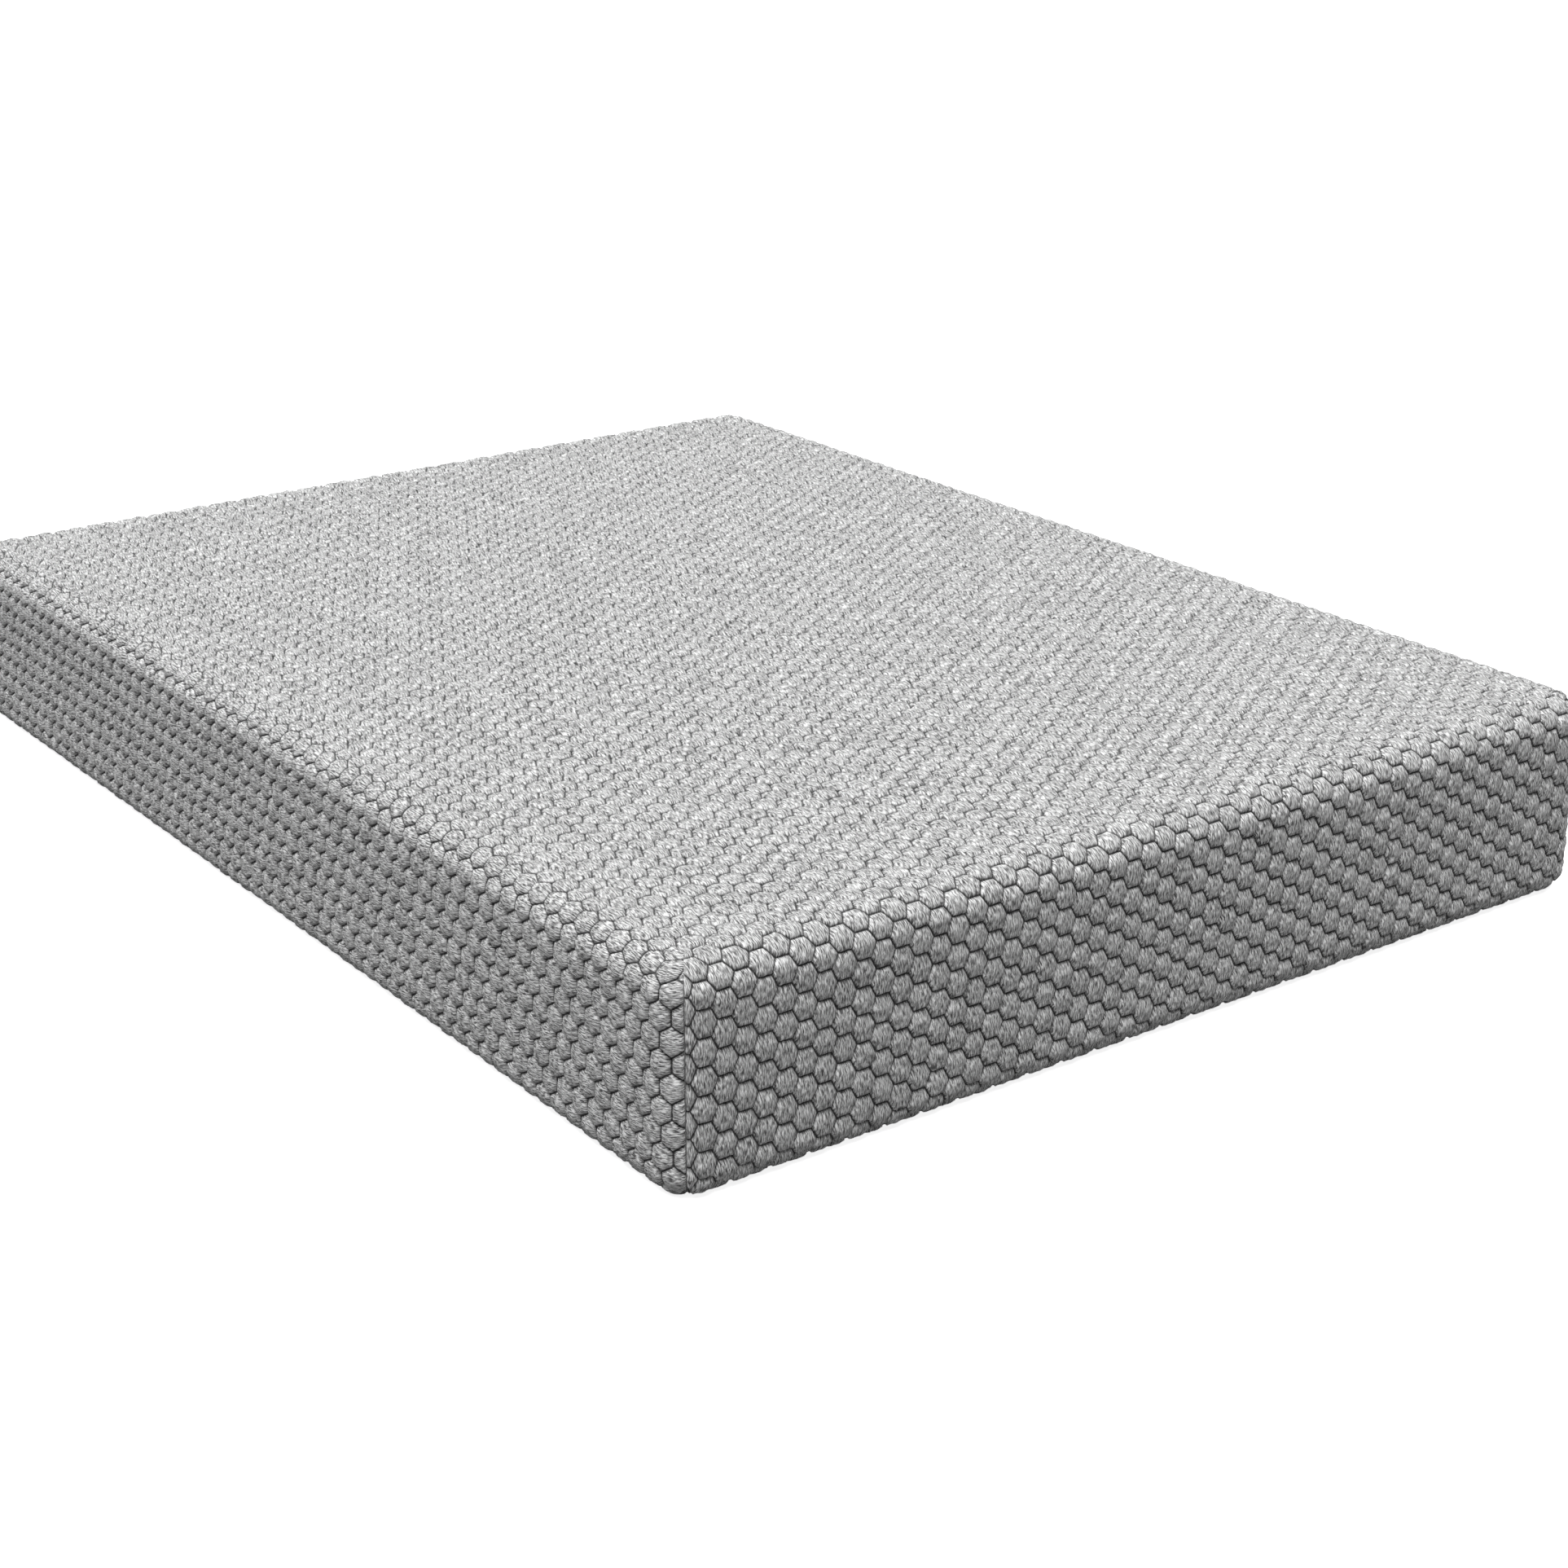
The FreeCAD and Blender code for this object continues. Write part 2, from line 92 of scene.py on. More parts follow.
@dataclass(frozen=True)
class CoverForm:
    """The outside form of the cover: a rounded block whose fabric turns under to the zip.

    Arc length along the fabric runs from the edge of the flat top, over the top edge, down the side,
    round the base edge, along the flat hem and up its lip.
    """

    width: float
    length: float
    height: float
    zip_inset: float
    zip_corner: float
    lip: float
    corner_radius: float = 48 * MM
    top_radius: float = 42 * MM
    base_radius: float = 36 * MM
    seam_turn: float = math.radians(55.0)

    @property
    def top_arc(self) -> float:
        """Fabric length over the top edge."""
        return self.top_radius * math.pi / 2

    @property
    def wall_end(self) -> float:
        """Arc length at the bottom of the upright wall."""
        return self.top_arc + self.height - self.top_radius - self.base_radius

    @property
    def base_end(self) -> float:
        """Arc length where the flat hem starts."""
        return self.wall_end + self.base_radius * math.pi / 2

    @property
    def hem_end(self) -> float:
        """Arc length at the inner edge of the hem."""
        return self.base_end + self.zip_inset - self.base_radius

    @property
    def fabric_end(self) -> float:
        """Arc length at the raw edge, on top of the hem's lip."""
        return self.hem_end + self.lip

    def seam_angle(self, flap: Flap) -> float:
        """How far round the upright edge a flap reaches, in radians."""
        return self.seam_turn if flap is Flap.SIDE else math.pi / 2 - self.seam_turn

    def half_sizes(self, flap: Flap) -> tuple[float, float]:
        """Half the size along a flap's edge, and half the size across it."""
        along, across = (self.width, self.length) if flap is Flap.END else (self.length, self.width)
        return along / 2, across / 2

    def profile(self, arc: Array) -> tuple[Array, Array, Array, Array]:
        """The section of the form at an arc length.

        Args:
            arc: Arc lengths from the edge of the flat top.

        Returns:
            The inset from the outer face, the height, and the outward and upward parts of the normal.
        """
        rt, rb = self.top_radius, self.base_radius
        over = np.clip(arc / rt, 0.0, math.pi / 2)
        under = np.clip((arc - self.wall_end) / rb, 0.0, math.pi / 2)
        drop = np.clip(arc - self.top_arc, 0.0, self.wall_end - self.top_arc)
        inset = rt * (1 - np.sin(over)) + rb * (1 - np.cos(under))
        level = self.height - rt * (1 - np.cos(over)) - drop - rb * np.sin(under)
        out = np.where(arc < self.wall_end, np.sin(over), np.cos(under))
        up = np.where(arc < self.wall_end, np.cos(over), -np.sin(under))
        lip = arc > self.hem_end
        level = np.where(lip, arc - self.hem_end, level)
        return inset, level, np.where(lip, -1.0, out), np.where(lip, 0.0, up)

    def contour_radius(self, arc: Array) -> Array:
        """Radius of the level contour's corner at an arc length."""
        return self.corner_radius - self.profile(np.minimum(arc, self.base_end))[0]

    def seam_place(self, flap: Flap, arc: Array) -> Array:
        """Place along a flap where its corner seam cuts it, at an arc length."""
        along = self.half_sizes(flap)[0]
        return along - self.corner_radius + self.seam_angle(flap) * self.contour_radius(arc)

    def place(self, flap: Flap, along: Array, arc: Array) -> tuple[Array, Array]:
        """Points and normals of the form under points of a flap.

        Args:
            flap: END or SIDE.
            along: Distance from the flap's middle line, never negative.
            arc: Arc length down the flap.

        Returns:
            Points and normals, each as (along, across, up) rows.
        """
        half_along, half_across = self.half_sizes(flap)
        level, out, up = self.profile(arc)[1:]
        radius = self.contour_radius(arc)
        start = half_along - self.corner_radius
        turn = np.clip((along - start) / radius, 0.0, self.seam_angle(flap))
        x = np.minimum(along, start) + radius * np.sin(turn)
        y = half_across - self.corner_radius + radius * np.cos(turn)
        inner = self.zip_inset + self.zip_corner
        seam = start + self.seam_angle(flap) * float(self.contour_radius(np.array(self.base_end)))
        share = np.clip((along - (half_along - inner)) / (seam - half_along + inner), 0.0, 1.0)
        inner_turn = share * self.seam_angle(flap)
        inner_x = np.minimum(along, half_along - inner) + self.zip_corner * np.sin(inner_turn)
        inner_y = half_across - inner + self.zip_corner * np.cos(inner_turn)
        across_hem = np.clip((arc - self.base_end) / (self.hem_end - self.base_end), 0.0, 1.0)
        x = x + (inner_x - x) * across_hem
        y = y + (inner_y - y) * across_hem
        facing = turn + (inner_turn - turn) * across_hem
        points = np.stack([x, y, level], axis=1)
        normals = np.stack([out * np.sin(facing), out * np.cos(facing), up], axis=1)
        return points, normals


@dataclass(frozen=True)
class PuffCloth:
    """One puff of the knit, blown up as cloth that is sewn down round its edge."""

    rings: int
    kinds: int = 3
    frames: int = 24
    work_size: float = 0.3
    pressure: float = 5.0
    softest: float = 0.7
    firmer: float = 0.3
    start_bumps: tuple[float, float] = (0.002, 0.012)
    quality: int = 6
    seed: int = 7

    def heights(self, outline: Array) -> Array:
        """Blows up each kind of puff and measures it.

        Args:
            outline: Grid points of one puff, as flat (u, v) rows in metres.

        Returns:
            One row for each kind of puff: the height of each grid point, from 0 to 1.
        """
        triangles, rim = puff_grid(self.rings)[1:]
        scale = self.work_size / np.ptp(outline[:, 0])
        rng = np.random.default_rng(self.seed)
        rows = []
        for kind in range(self.kinds):
            mesh = bpy.data.meshes.new(f"puff_{kind}")
            flat = outline * scale
            bumps = np.where(rim, 0.0, rng.uniform(*self.start_bumps, len(flat)))
            mesh.from_pydata(np.column_stack([flat, bumps]).tolist(), [], triangles.tolist())
            blown = self.blow(mesh, rim, self.pressure * (self.softest + self.firmer * kind))
            height = np.where(rim, 0.0, np.maximum(blown[:, 2], 0.0))
            rows.append(height / height.max())
        return np.array(rows)

    def blow(self, mesh: Mesh, rim: Array, pressure: float) -> Array:
        """Runs the cloth of one puff, and removes it again.

        Args:
            mesh: The flat puff.
            rim: Which of its vertices are sewn down.
            pressure: Pressure under the cloth.

        Returns:
            The vertices of the blown-up puff.
        """
        puff = bpy.data.objects.new(mesh.name, mesh)
        bpy.context.scene.collection.objects.link(puff)
        group = puff.vertex_groups.new(name="sewn")
        group.add(np.flatnonzero(rim).tolist(), 1.0, "REPLACE")
        cloth = puff.modifiers.new("cloth", "CLOTH")
        cloth.settings.vertex_group_mass = "sewn"
        cloth.settings.use_pressure = True
        cloth.settings.uniform_pressure_force = pressure
        cloth.settings.effector_weights.gravity = 0.0
        cloth.settings.quality = self.quality
        cloth.collision_settings.use_collision = False
        scene = bpy.context.scene
        for number in range(1, self.frames + 1):
            scene.frame_set(number)
        depsgraph = bpy.context.evaluated_depsgraph_get()
        result = bpy.data.meshes.new_from_object(puff.evaluated_get(depsgraph))
        blown = np.array([vertex.co for vertex in result.vertices])
        scene.frame_set(1)
        bpy.data.objects.remove(puff)
        for leftover in (result, mesh):
            bpy.data.meshes.remove(leftover)
        return blown


def puff_grid(rings: int) -> tuple[Array, Array, Array]:
    """The triangle grid of one six-sided puff.

    Args:
        rings: Number of rings of triangles from the middle to the rim.

    Returns:
        For each grid point its weights on the middle and the six corners; the triangles; and which
        points are on the rim.
    """
    index: dict[tuple[int, int, int], int] = {}
    weights: list[Array] = []
    rim: list[bool] = []

    def point(sector: int, ring: int, step: int) -> int:
        """The number of a grid point, step steps along a sector's edge of a ring.

        Args:
            sector: The sector, from 0 to 5.
            ring: The ring, 0 in the middle.
            step: Steps along the ring from the sector's start.

        Returns:
            The point's number.
        """
        if step == ring and ring:
            sector, step = (sector + 1) % 6, 0
        key = (sector, ring, step) if ring else (0, 0, 0)
        if key not in index:
            row = np.zeros(7)
            row[0] = 1 - ring / rings
            row[1 + sector] = (ring - step) / rings
            row[1 + (sector + 1) % 6] += step / rings
            index[key] = len(weights)
            weights.append(row)
            rim.append(ring == rings)
        return index[key]

    triangles = []
    for sector in range(6):
        for ring in range(rings):
            for step in range(ring + 1):
                near, out = point(sector, ring, step), point(sector, ring + 1, step)
                across = point(sector, ring + 1, step + 1)
                triangles.append((near, out, across))
                if step < ring:
                    triangles.append((near, across, point(sector, ring, step + 1)))
    return np.array(weights), np.array(triangles), np.array(rim)


def mesh_from_arrays(name: str, points: Array, triangles: Array) -> Mesh:
    """A triangle mesh from plain arrays.

    Args:
        name: Name of the mesh.
        points: Vertex places, one row each.
        triangles: Vertex numbers, three in each row, counter-clockwise from outside.

    Returns:
        The mesh, shaded smooth.
    """
    mesh = bpy.data.meshes.new(name)
    mesh.vertices.add(len(points))
    mesh.vertices.foreach_set("co", points.astype(np.float32).ravel())
    mesh.loops.add(triangles.size)
    mesh.loops.foreach_set("vertex_index", triangles.astype(np.int32).ravel())
    mesh.polygons.add(len(triangles))
    mesh.polygons.foreach_set("loop_start", np.arange(0, triangles.size, 3, dtype=np.int32))
    mesh.update(calc_edges=True)
    mesh.validate()
    mesh.shade_smooth()
    return mesh


def lay_map(mesh: Mesh, name: str, places: Array) -> None:
    """Lays a UV map on a mesh, from one (u, v) row for each vertex.

    Args:
        mesh: The mesh.
        name: Name of the map.
        places: A (u, v) row for each vertex.
    """
    corner = np.empty(len(mesh.loops), np.int32)
    mesh.loops.foreach_get("vertex_index", corner)
    layer = mesh.uv_layers.new(name=name)
    layer.uv.foreach_set("vector", places[corner].astype(np.float32).ravel())


@dataclass
class KnitCover:
    """The one-piece cover: a cross-shaped net of six-sided puffs folded over the form."""

    form: CoverForm
    rings: int = 5
    column_pitch: float = 27.4 * MM
    row_pitch: float = 32.9 * MM
    column_phase: float = -7.0 * MM
    row_phase: float = 21.8 * MM
    side_stretch: float = 1.05
    puff_height: float = 6.4 * MM
    hem_puff_height: float = 1.2 * MM
    crest: float = 1.2 * MM
    wander: float = 0.7 * MM
    seam_reach: float = 2.6 * MM
    puff_spread: float = 0.12
    fullness: float = 0.52
    sag: float = 0.5
    nap: float = 0.6
    # How much wider the painted crease shadow is towards each puff's full edge.
    crease_lean: float = 1.5
    full_height: float = 1.1
    press_start: float = 0.5
    seam_start: tuple[float, float] = (0.2, 0.8)
    wave_lengths: tuple[float, ...] = (0.41, 0.173, 0.081, 0.047)
    wave_strength: float = 0.6
    spare_rows: float = 1.5
    spare_corner: float = 1.2
    weld: float = 0.05 * MM
    seed: int = 11

    @property
    def flat_half_width(self) -> float:
        """Half the width of the flat top."""
        return self.form.width / 2 - self.form.top_radius

    @property
    def flat_half_length(self) -> float:
        """Half the length of the flat top."""
        return self.form.length / 2 - self.form.top_radius

    def puff_outline(self) -> Array:
        """The middle and the six corners of one puff, with two sides along the width.

        Returns:
            The seven places, as (u, v) rows.
        """
        reach, half_side, half_row = self.column_pitch * 2 / 3, self.column_pitch / 3, self.row_pitch / 2
        return np.array([
            (0, 0), (reach, 0), (half_side, half_row), (-half_side, half_row),
            (-reach, 0), (-half_side, -half_row), (half_side, -half_row),
        ])

    def puff_middles(self) -> Array:
        """Middles of all the puffs that the net may hold, with some to spare round its edge.

        Returns:
            The middles, as (u, v) rows.
        """
        spare = self.spare_rows * self.row_pitch
        flap = self.form.fabric_end / self.side_stretch + spare
        half_u, half_v = self.flat_half_width + flap, self.flat_half_length + flap
        columns = np.arange(-int(half_u / self.column_pitch) - 1, int(half_u / self.column_pitch) + 2)
        rows = np.arange(-int(half_v / self.row_pitch) - 1, int(half_v / self.row_pitch) + 2)
        column, row = (grid.ravel() for grid in np.meshgrid(columns, rows))
        u = column * self.column_pitch + self.column_phase
        v = (row + 0.5 * (column % 2)) * self.row_pitch + self.row_phase
        past_u, past_v = np.abs(u) - self.flat_half_width, np.abs(v) - self.flat_half_length
        corner = self.form.corner_radius * self.spare_corner + spare
        held = (np.minimum(past_u, past_v) < corner) & (np.maximum(past_u, past_v) < flap)
        return np.column_stack([u, v])[held]

    def net(self, heights: Array) -> tuple[Array, ...]:
        """All the puffs, laid out flat.

        Args:
            heights: For each kind of puff, the height of each grid point from 0 to 1.

        Returns:
            The fabric place, the place within its puff, the height and the rim mark of each point, and
            the triangles.
        """
        weights, triangles, rim = puff_grid(self.rings)
        middles = self.puff_middles()
        rng = np.random.default_rng(self.seed)
        kinds = rng.integers(0, len(heights), len(middles))
        sizes = 1.0 + self.puff_spread * rng.uniform(-1.0, 1.0, len(middles))
        within = weights @ self.puff_outline()
        places = middles[:, None, :] + within[None, :, :]
        within = np.tile(within / np.abs(within).max(axis=0), (len(middles), 1))
        puffed = heights[kinds] * sizes[:, None]
        count = weights.shape[0]
        faces = (triangles[None] + (np.arange(len(middles)) * count)[:, None, None]).reshape(-1, 3)
        places = places.reshape(-1, 2)
        keys = np.round(places / self.weld).astype(np.int64)
        first, inverse = np.unique(keys, axis=0, return_index=True, return_inverse=True)[1:]
        rims = np.tile(rim, len(middles))[first]
        return places[first], within[first], puffed.ravel()[first], rims, inverse.ravel()[faces]

    def leaning(self, place: Array, within: Array, flap: Array) -> Array:
        """How far each point lies towards the full edge of its puff, from -1 to 1.

        The nap leans towards the foot on the top, and on the sides the puffs hang a little. The same lean
        widens the painted crease shadow towards each puff's full edge.

        Args:
            place: Fabric places.
            within: Places within each puff, from -1 to 1.
            flap: The flap of each place.

        Returns:
            The lean of each point.
        """
        signs = np.sign(place)
        past = np.abs(place) - [self.flat_half_width, self.flat_half_length]
        end = flap == Flap.END.value
        hung = np.where(end, (signs * within)[:, 1], (signs * within)[:, 0])
        down = smoothstep(0.0, self.form.top_arc, np.where(end, past[:, 1], past[:, 0]))
        down = np.where(flap == Flap.TOP.value, 0.0, down)
        return down * hung - (1 - down) * self.nap * within[:, 1]

    def flap_of(self, place: Array) -> tuple[Array, Array, Array]:
        """Sorts fabric places into the flaps of the net.

        Args:
            place: Fabric places, as (u, v) rows.

        Returns:
            The flap of each place, its distance inside the cut edge of the net, and its distance from
            the corner seam. A place outside the net has a negative distance inside.
        """
        form = self.form
        u, v = np.abs(place).T
        arc_end = (v - self.flat_half_length) * self.side_stretch
        arc_side = (u - self.flat_half_width) * self.side_stretch
        from_end = form.seam_place(Flap.END, np.maximum(arc_end, 0.0)) - u
        from_side = form.seam_place(Flap.SIDE, np.maximum(arc_side, 0.0)) - v
        end = (arc_end > 0) & ((arc_side <= 0) | (from_end >= from_side))
        side = (arc_side > 0) & ~end
        flap = np.where(end, Flap.END.value, np.where(side, Flap.SIDE.value, Flap.TOP.value))
        seam = np.where(end, from_end, np.where(side, from_side, -(arc_end + arc_side)))
        edge = form.fabric_end - np.where(end, arc_end, np.where(side, arc_side, 0.0))
        return flap, np.minimum(seam, edge), seam

    def folded(self, place: Array, flap: Array, seam: Array,
               height: Array) -> Array:
        """Folds the net over the form and raises its puffs.

        Args:
            place: Fabric places, as (u, v) rows.
            flap: The flap of each place.
            seam: Distance of each place from the corner seam.
            height: Puff height of each place, about 0 to 1.

        Returns:
            Points of the cover's face.
        """
        form = self.form
        signs = np.where(place < 0, -1.0, 1.0)
        size = np.abs(place)
        points = np.column_stack([place, np.full(len(place), form.height)])
        normals = np.tile([0.0, 0.0, 1.0], (len(place), 1))
        flat = np.array([self.flat_half_width, self.flat_half_length])
        past = np.maximum((size - flat) * self.side_stretch, 0.0)
        arc = np.where(flap == Flap.END.value, past[:, 1], past[:, 0])
        arc = np.minimum(arc, form.fabric_end)
        tip = size - (flat - (form.corner_radius - form.top_radius))
        beyond = (flap == Flap.TOP.value) & (tip.min(axis=1) > 0)
        reach = np.hypot(*tip.T)
        shrink = np.minimum(1.0, (form.corner_radius - form.top_radius) / np.maximum(reach, 1e-9))
        points[beyond, :2] -= (signs * tip * (1 - shrink)[:, None])[beyond]
        for kind, along_axis in ((Flap.END, 0), (Flap.SIDE, 1)):
            mine = flap == kind.value
            order = [0, 1, 2] if along_axis == 0 else [1, 0, 2]
            spot, facing = form.place(kind, size[mine, along_axis], arc[mine])
            turned = np.column_stack([signs[mine], np.ones(mine.sum())])
            points[mine] = spot[:, order] * turned
            normals[mine] = facing[:, order] * turned
        press = form.wall_end + self.press_start * (form.base_end - form.wall_end)
        pressed = smoothstep(press, form.base_end, arc)
        rise = self.puff_height + (self.hem_puff_height - self.puff_height) * pressed
        crest = self.crest * (1 - pressed)
        flattened = smoothstep(form.hem_end, form.hem_end - 2 * self.hem_puff_height, arc)
        sewn = smoothstep(0.0, self.seam_reach, seam)
        started = smoothstep(*(share * form.top_arc for share in self.seam_start), arc)
        free = (1 - (1 - sewn) * started) * flattened
        lift = crest - rise + rise * np.minimum(height * free, self.full_height)
        raised = points + normals * lift[:, None]
        raised[:, 2] = np.maximum(raised[:, 2], 0.0)
        return raised

    def trimmed(self, inside: Array, faces: Array) -> tuple[Array, Array]:
        """Cuts the triangles of the net along its edge.

        Args:
            inside: Distance of each point inside the edge, negative outside.
            faces: Triangles, three point numbers in each row.

        Returns:
            The cut points, each as (kept point, lost point, share of the way), and the triangles,
            where numbers past the points of the net stand for cut points.
        """
        kept = inside[faces] >= 0
        whole = faces[kept.all(axis=1)]
        cuts: dict[tuple[int, int], int] = {}
        rows: list[tuple[int, int, float]] = []
        pieces: list[tuple[int, int, int]] = []

        def cut(near: int, far: int) -> int:
            """The number of the cut point between a kept and a lost point.

            Args:
                near: The kept point.
                far: The lost point.

            Returns:
                The cut point's number.
            """
            if (near, far) not in cuts:
                cuts[near, far] = len(inside) + len(rows)
                rows.append((near, far, float(inside[near] / (inside[near] - inside[far]))))
            return cuts[near, far]

        for face, keeps in zip(faces, kept):
            if keeps.all() or not keeps.any():
                continue
            turn = int(np.flatnonzero(keeps if keeps.sum() == 1 else ~keeps)[0])
            a, b, c = (int(face[(turn + step) % 3]) for step in range(3))
            if keeps.sum() == 1:
                pieces.append((a, cut(a, b), cut(a, c)))
            else:
                low, high = cut(b, a), cut(c, a)
                pieces += [(low, b, c), (low, c, high)]
        return np.array(rows), np.concatenate([whole, np.array(pieces, dtype=faces.dtype)])

    def wandered(self, place: Array) -> Array:
        """Fabric places moved a little, as no two rows of a knit run quite straight.

        Args:
            place: Fabric places, as (u, v) rows.

        Returns:
            The moved places.
        """
        rng = np.random.default_rng(self.seed + 1)
        moved = place.copy()
        for wave in self.wave_lengths:
            angle, start = rng.uniform(0, 2 * math.pi, 2)
            across = place @ np.array([math.cos(angle), math.sin(angle)]) * 2 * math.pi / wave + start
            push = self.wander * np.array([math.cos(start * 3), math.sin(start * 3)])
            moved += self.wave_strength * np.sin(across)[:, None] * push
        return moved

    def build(self, puff: PuffCloth) -> Object:
        """Makes the cover.

        Args:
            puff: The cloth that gives each puff its shape.

        Returns:
            The cover's object.
        """
        grid = puff_grid(self.rings)[0] @ self.puff_outline()
        place, within, height, rim, faces = self.net(puff.heights(grid))
        flap, inside, seam = self.flap_of(self.wandered(place))
        cuts, faces = self.trimmed(inside, faces)
        near, far, share = cuts[:, 0].astype(int), cuts[:, 1].astype(int), cuts[:, 2]
        place, within, height = (np.concatenate([values, values[near] + (values[far] - values[near]) * (
            share[:, None] if values.ndim == 2 else share)]) for values in (place, within, height))
        flap = np.concatenate([flap, flap[near]])
        seam = np.concatenate([seam, np.maximum(seam[near] + (seam[far] - seam[near]) * share, 0.0)])
        rim = np.concatenate([rim, np.zeros(len(near), bool)])
        used, faces = np.unique(faces, return_inverse=True)
        faces = faces.reshape(-1, 3)
        place, within, height, flap, seam, rim = (
            values[used] for values in (place, within, height, flap, seam, rim))
        lean = self.sag * self.leaning(place, within, flap)
        full = height ** (self.fullness * (1 - lean))
        points = self.folded(self.wandered(place), flap, seam, full)
        mesh = mesh_from_arrays("cover_knit_puffed", points, faces)
        # Puff heights for the painted crease shadow, leaning the other way from the shape so that the dark
        # band is wider on each puff's full edge.
        self.mark(mesh, place, height ** (self.fullness * (1 + self.crease_lean * lean)), rim)
        return show("cover_knit_puffed", mesh, Cloths.COVER)

    def mark(self, mesh: Mesh, place: Array, height: Array, rim: Array) -> None:
        """Gives the cover's mesh its fabric map, its bake map, its puff heights for the painted crease
        shadow and its sharp creases.

        Args:
            mesh: The cover's mesh.
            place: Fabric place of each vertex.
            height: Puff height of each vertex, which sets its painted crease shadow.
            rim: Which vertices lie in a crease.
        """
        span = 2 * (self.flat_half_length + self.form.fabric_end / self.side_stretch + self.row_pitch)
        for name, values in (("fabric", place), ("OFBake", place / span + 0.5)):
            lay_map(mesh, name, values)
        puff = mesh.attributes.new("puff", "FLOAT", "POINT")
        puff.data.foreach_set("value", height.astype(np.float32))
        ends = np.empty(2 * len(mesh.edges), np.int32)
        mesh.edges.foreach_get("vertices", ends)
        sharp = mesh.attributes.new("sharp_edge", "BOOLEAN", "EDGE")
        sharp.data.foreach_set("value", rim[ends.reshape(-1, 2)].all(axis=1))


class Wiring:
    """Adds nodes to one tree and joins them."""

    def __init__(self, tree: NodeTree) -> None:
        """Takes the tree to work on."""
        self.tree = tree

    def add(self, kind: str, sockets: dict[int | str, object] | None = None,
            **settings: object) -> Node:
        """Adds a node.

        Args:
            kind: The node's type.
            sockets: For each input, by number or name, the value it holds or the output it takes.
            settings: The node's own settings.

        Returns:
            The node.
        """
        node = self.tree.nodes.new(kind)
        for name, value in settings.items():
            setattr(node, name, value)
        for where, value in (sockets or {}).items():
            if isinstance(value, Node):
                value = value.outputs[0]
            if isinstance(value, Socket):
                self.tree.links.new(value, node.inputs[where])
            else:
                node.inputs[where].default_value = value
        return node

    def math(self, operation: str, first: object, second: object = 0.0) -> Socket:
        """A sum on one or two numbers."""
        return self.add("ShaderNodeMath", {0: first, 1: second}, operation=operation).outputs[0]

    def remap(self, value: object, low: float, high: float, start: float = 0.0,
              end: float = 1.0) -> Socket:
        """A value taken smoothly from the range low to high to the range start to end."""
        sockets = {0: value, 1: low, 2: high, 3: start, 4: end}
        return self.add("ShaderNodeMapRange", sockets, interpolation_type="SMOOTHSTEP").outputs[0]

    def blend(self, *parts: tuple[object, float]) -> Socket:
        """The sum of several values, each times its share.

        Args:
            parts: Each value with its share.

        Returns:
            The sum.
        """
        total, *others = (self.math("MULTIPLY", value, share) for value, share in parts)
        for other in others:
            total = self.math("ADD", total, other)
        return total

    def tint(self, share: object, low: object, high: object) -> Socket:
        """A colour between low and high."""
        return self.add("ShaderNodeMix", {0: share, 6: low, 7: high}, data_type="RGBA").outputs[2]


class Effect(Wiring):
    """A shader node group that several finishes share."""

    def __init__(self, name: str, takes: dict[str, float | None], gives: tuple[str, ...]) -> None:
        """Makes the empty group.

        Args:
            name: The group's name.
            takes: For each input its starting number, or None for a vector.
            gives: Names of the outputs.
        """
        super().__init__(bpy.data.node_groups.new(name, "ShaderNodeTree"))
        for label, number in takes.items():
            kind = "NodeSocketVector" if number is None else "NodeSocketFloat"
            socket = self.tree.interface.new_socket(name=label, in_out="INPUT", socket_type=kind)
            if number is not None:
                socket.default_value = number
        for label in gives:
            self.tree.interface.new_socket(name=label, in_out="OUTPUT", socket_type="NodeSocketFloat")
        self.takes = self.tree.nodes.new("NodeGroupInput").outputs
        self.gives = self.tree.nodes.new("NodeGroupOutput").inputs

    def give(self, **results: Socket) -> None:
        """Joins results to the outputs of the same names."""
        for label, result in results.items():
            self.tree.links.new(result, self.gives[label])


def yarn_effect() -> NodeTree:
    """Heathered yarn: streaks along the second axis of the fabric.

    Returns:
        The shared group.
    """
    group = Effect("heathered_yarn", {"Vector": None, "Width": MM, "Length": 9 * MM, "Seed": 0.0},
                   ("Shade",))
    part = group.add("ShaderNodeSeparateXYZ", {0: group.takes["Vector"]})
    across = group.math("DIVIDE", part.outputs[0], group.takes["Width"])
    along = group.math("DIVIDE", part.outputs[1], group.takes["Length"])
    place = group.add("ShaderNodeCombineXYZ", {0: across, 1: along, 2: group.takes["Seed"]})
    noise = group.add("ShaderNodeTexNoise", {"Vector": place, "Scale": 1.0, "Detail": 2.0})
    darkest, lightest = 0.39, 0.61
    group.give(Shade=group.remap(noise, darkest, lightest))
    return group.tree


def weave_effect() -> NodeTree:
    """Woven or knitted rows: threads that pass over and under each other.

    Returns:
        The shared group.
    """
    group = Effect("woven_threads", {"Vector": None, "Thread": MM}, ("Height",))
    part = group.add("ShaderNodeSeparateXYZ", {0: group.takes["Vector"]})
    waves = []
    for axis in (0, 1):
        turns = group.math("DIVIDE", part.outputs[axis], group.takes["Thread"])
        waves.append(group.math("SINE", group.math("MULTIPLY", turns, math.pi)))
    over = group.math("GREATER_THAN", group.math("MULTIPLY", *waves), 0.0)
    low, high = (group.math("ABSOLUTE", wave) for wave in waves)
    mixed = group.add("ShaderNodeMix", {0: over, 2: low, 3: high}, data_type="FLOAT").outputs[0]
    roundness = 0.6
    group.give(Height=group.math("POWER", mixed, roundness))
    return group.tree


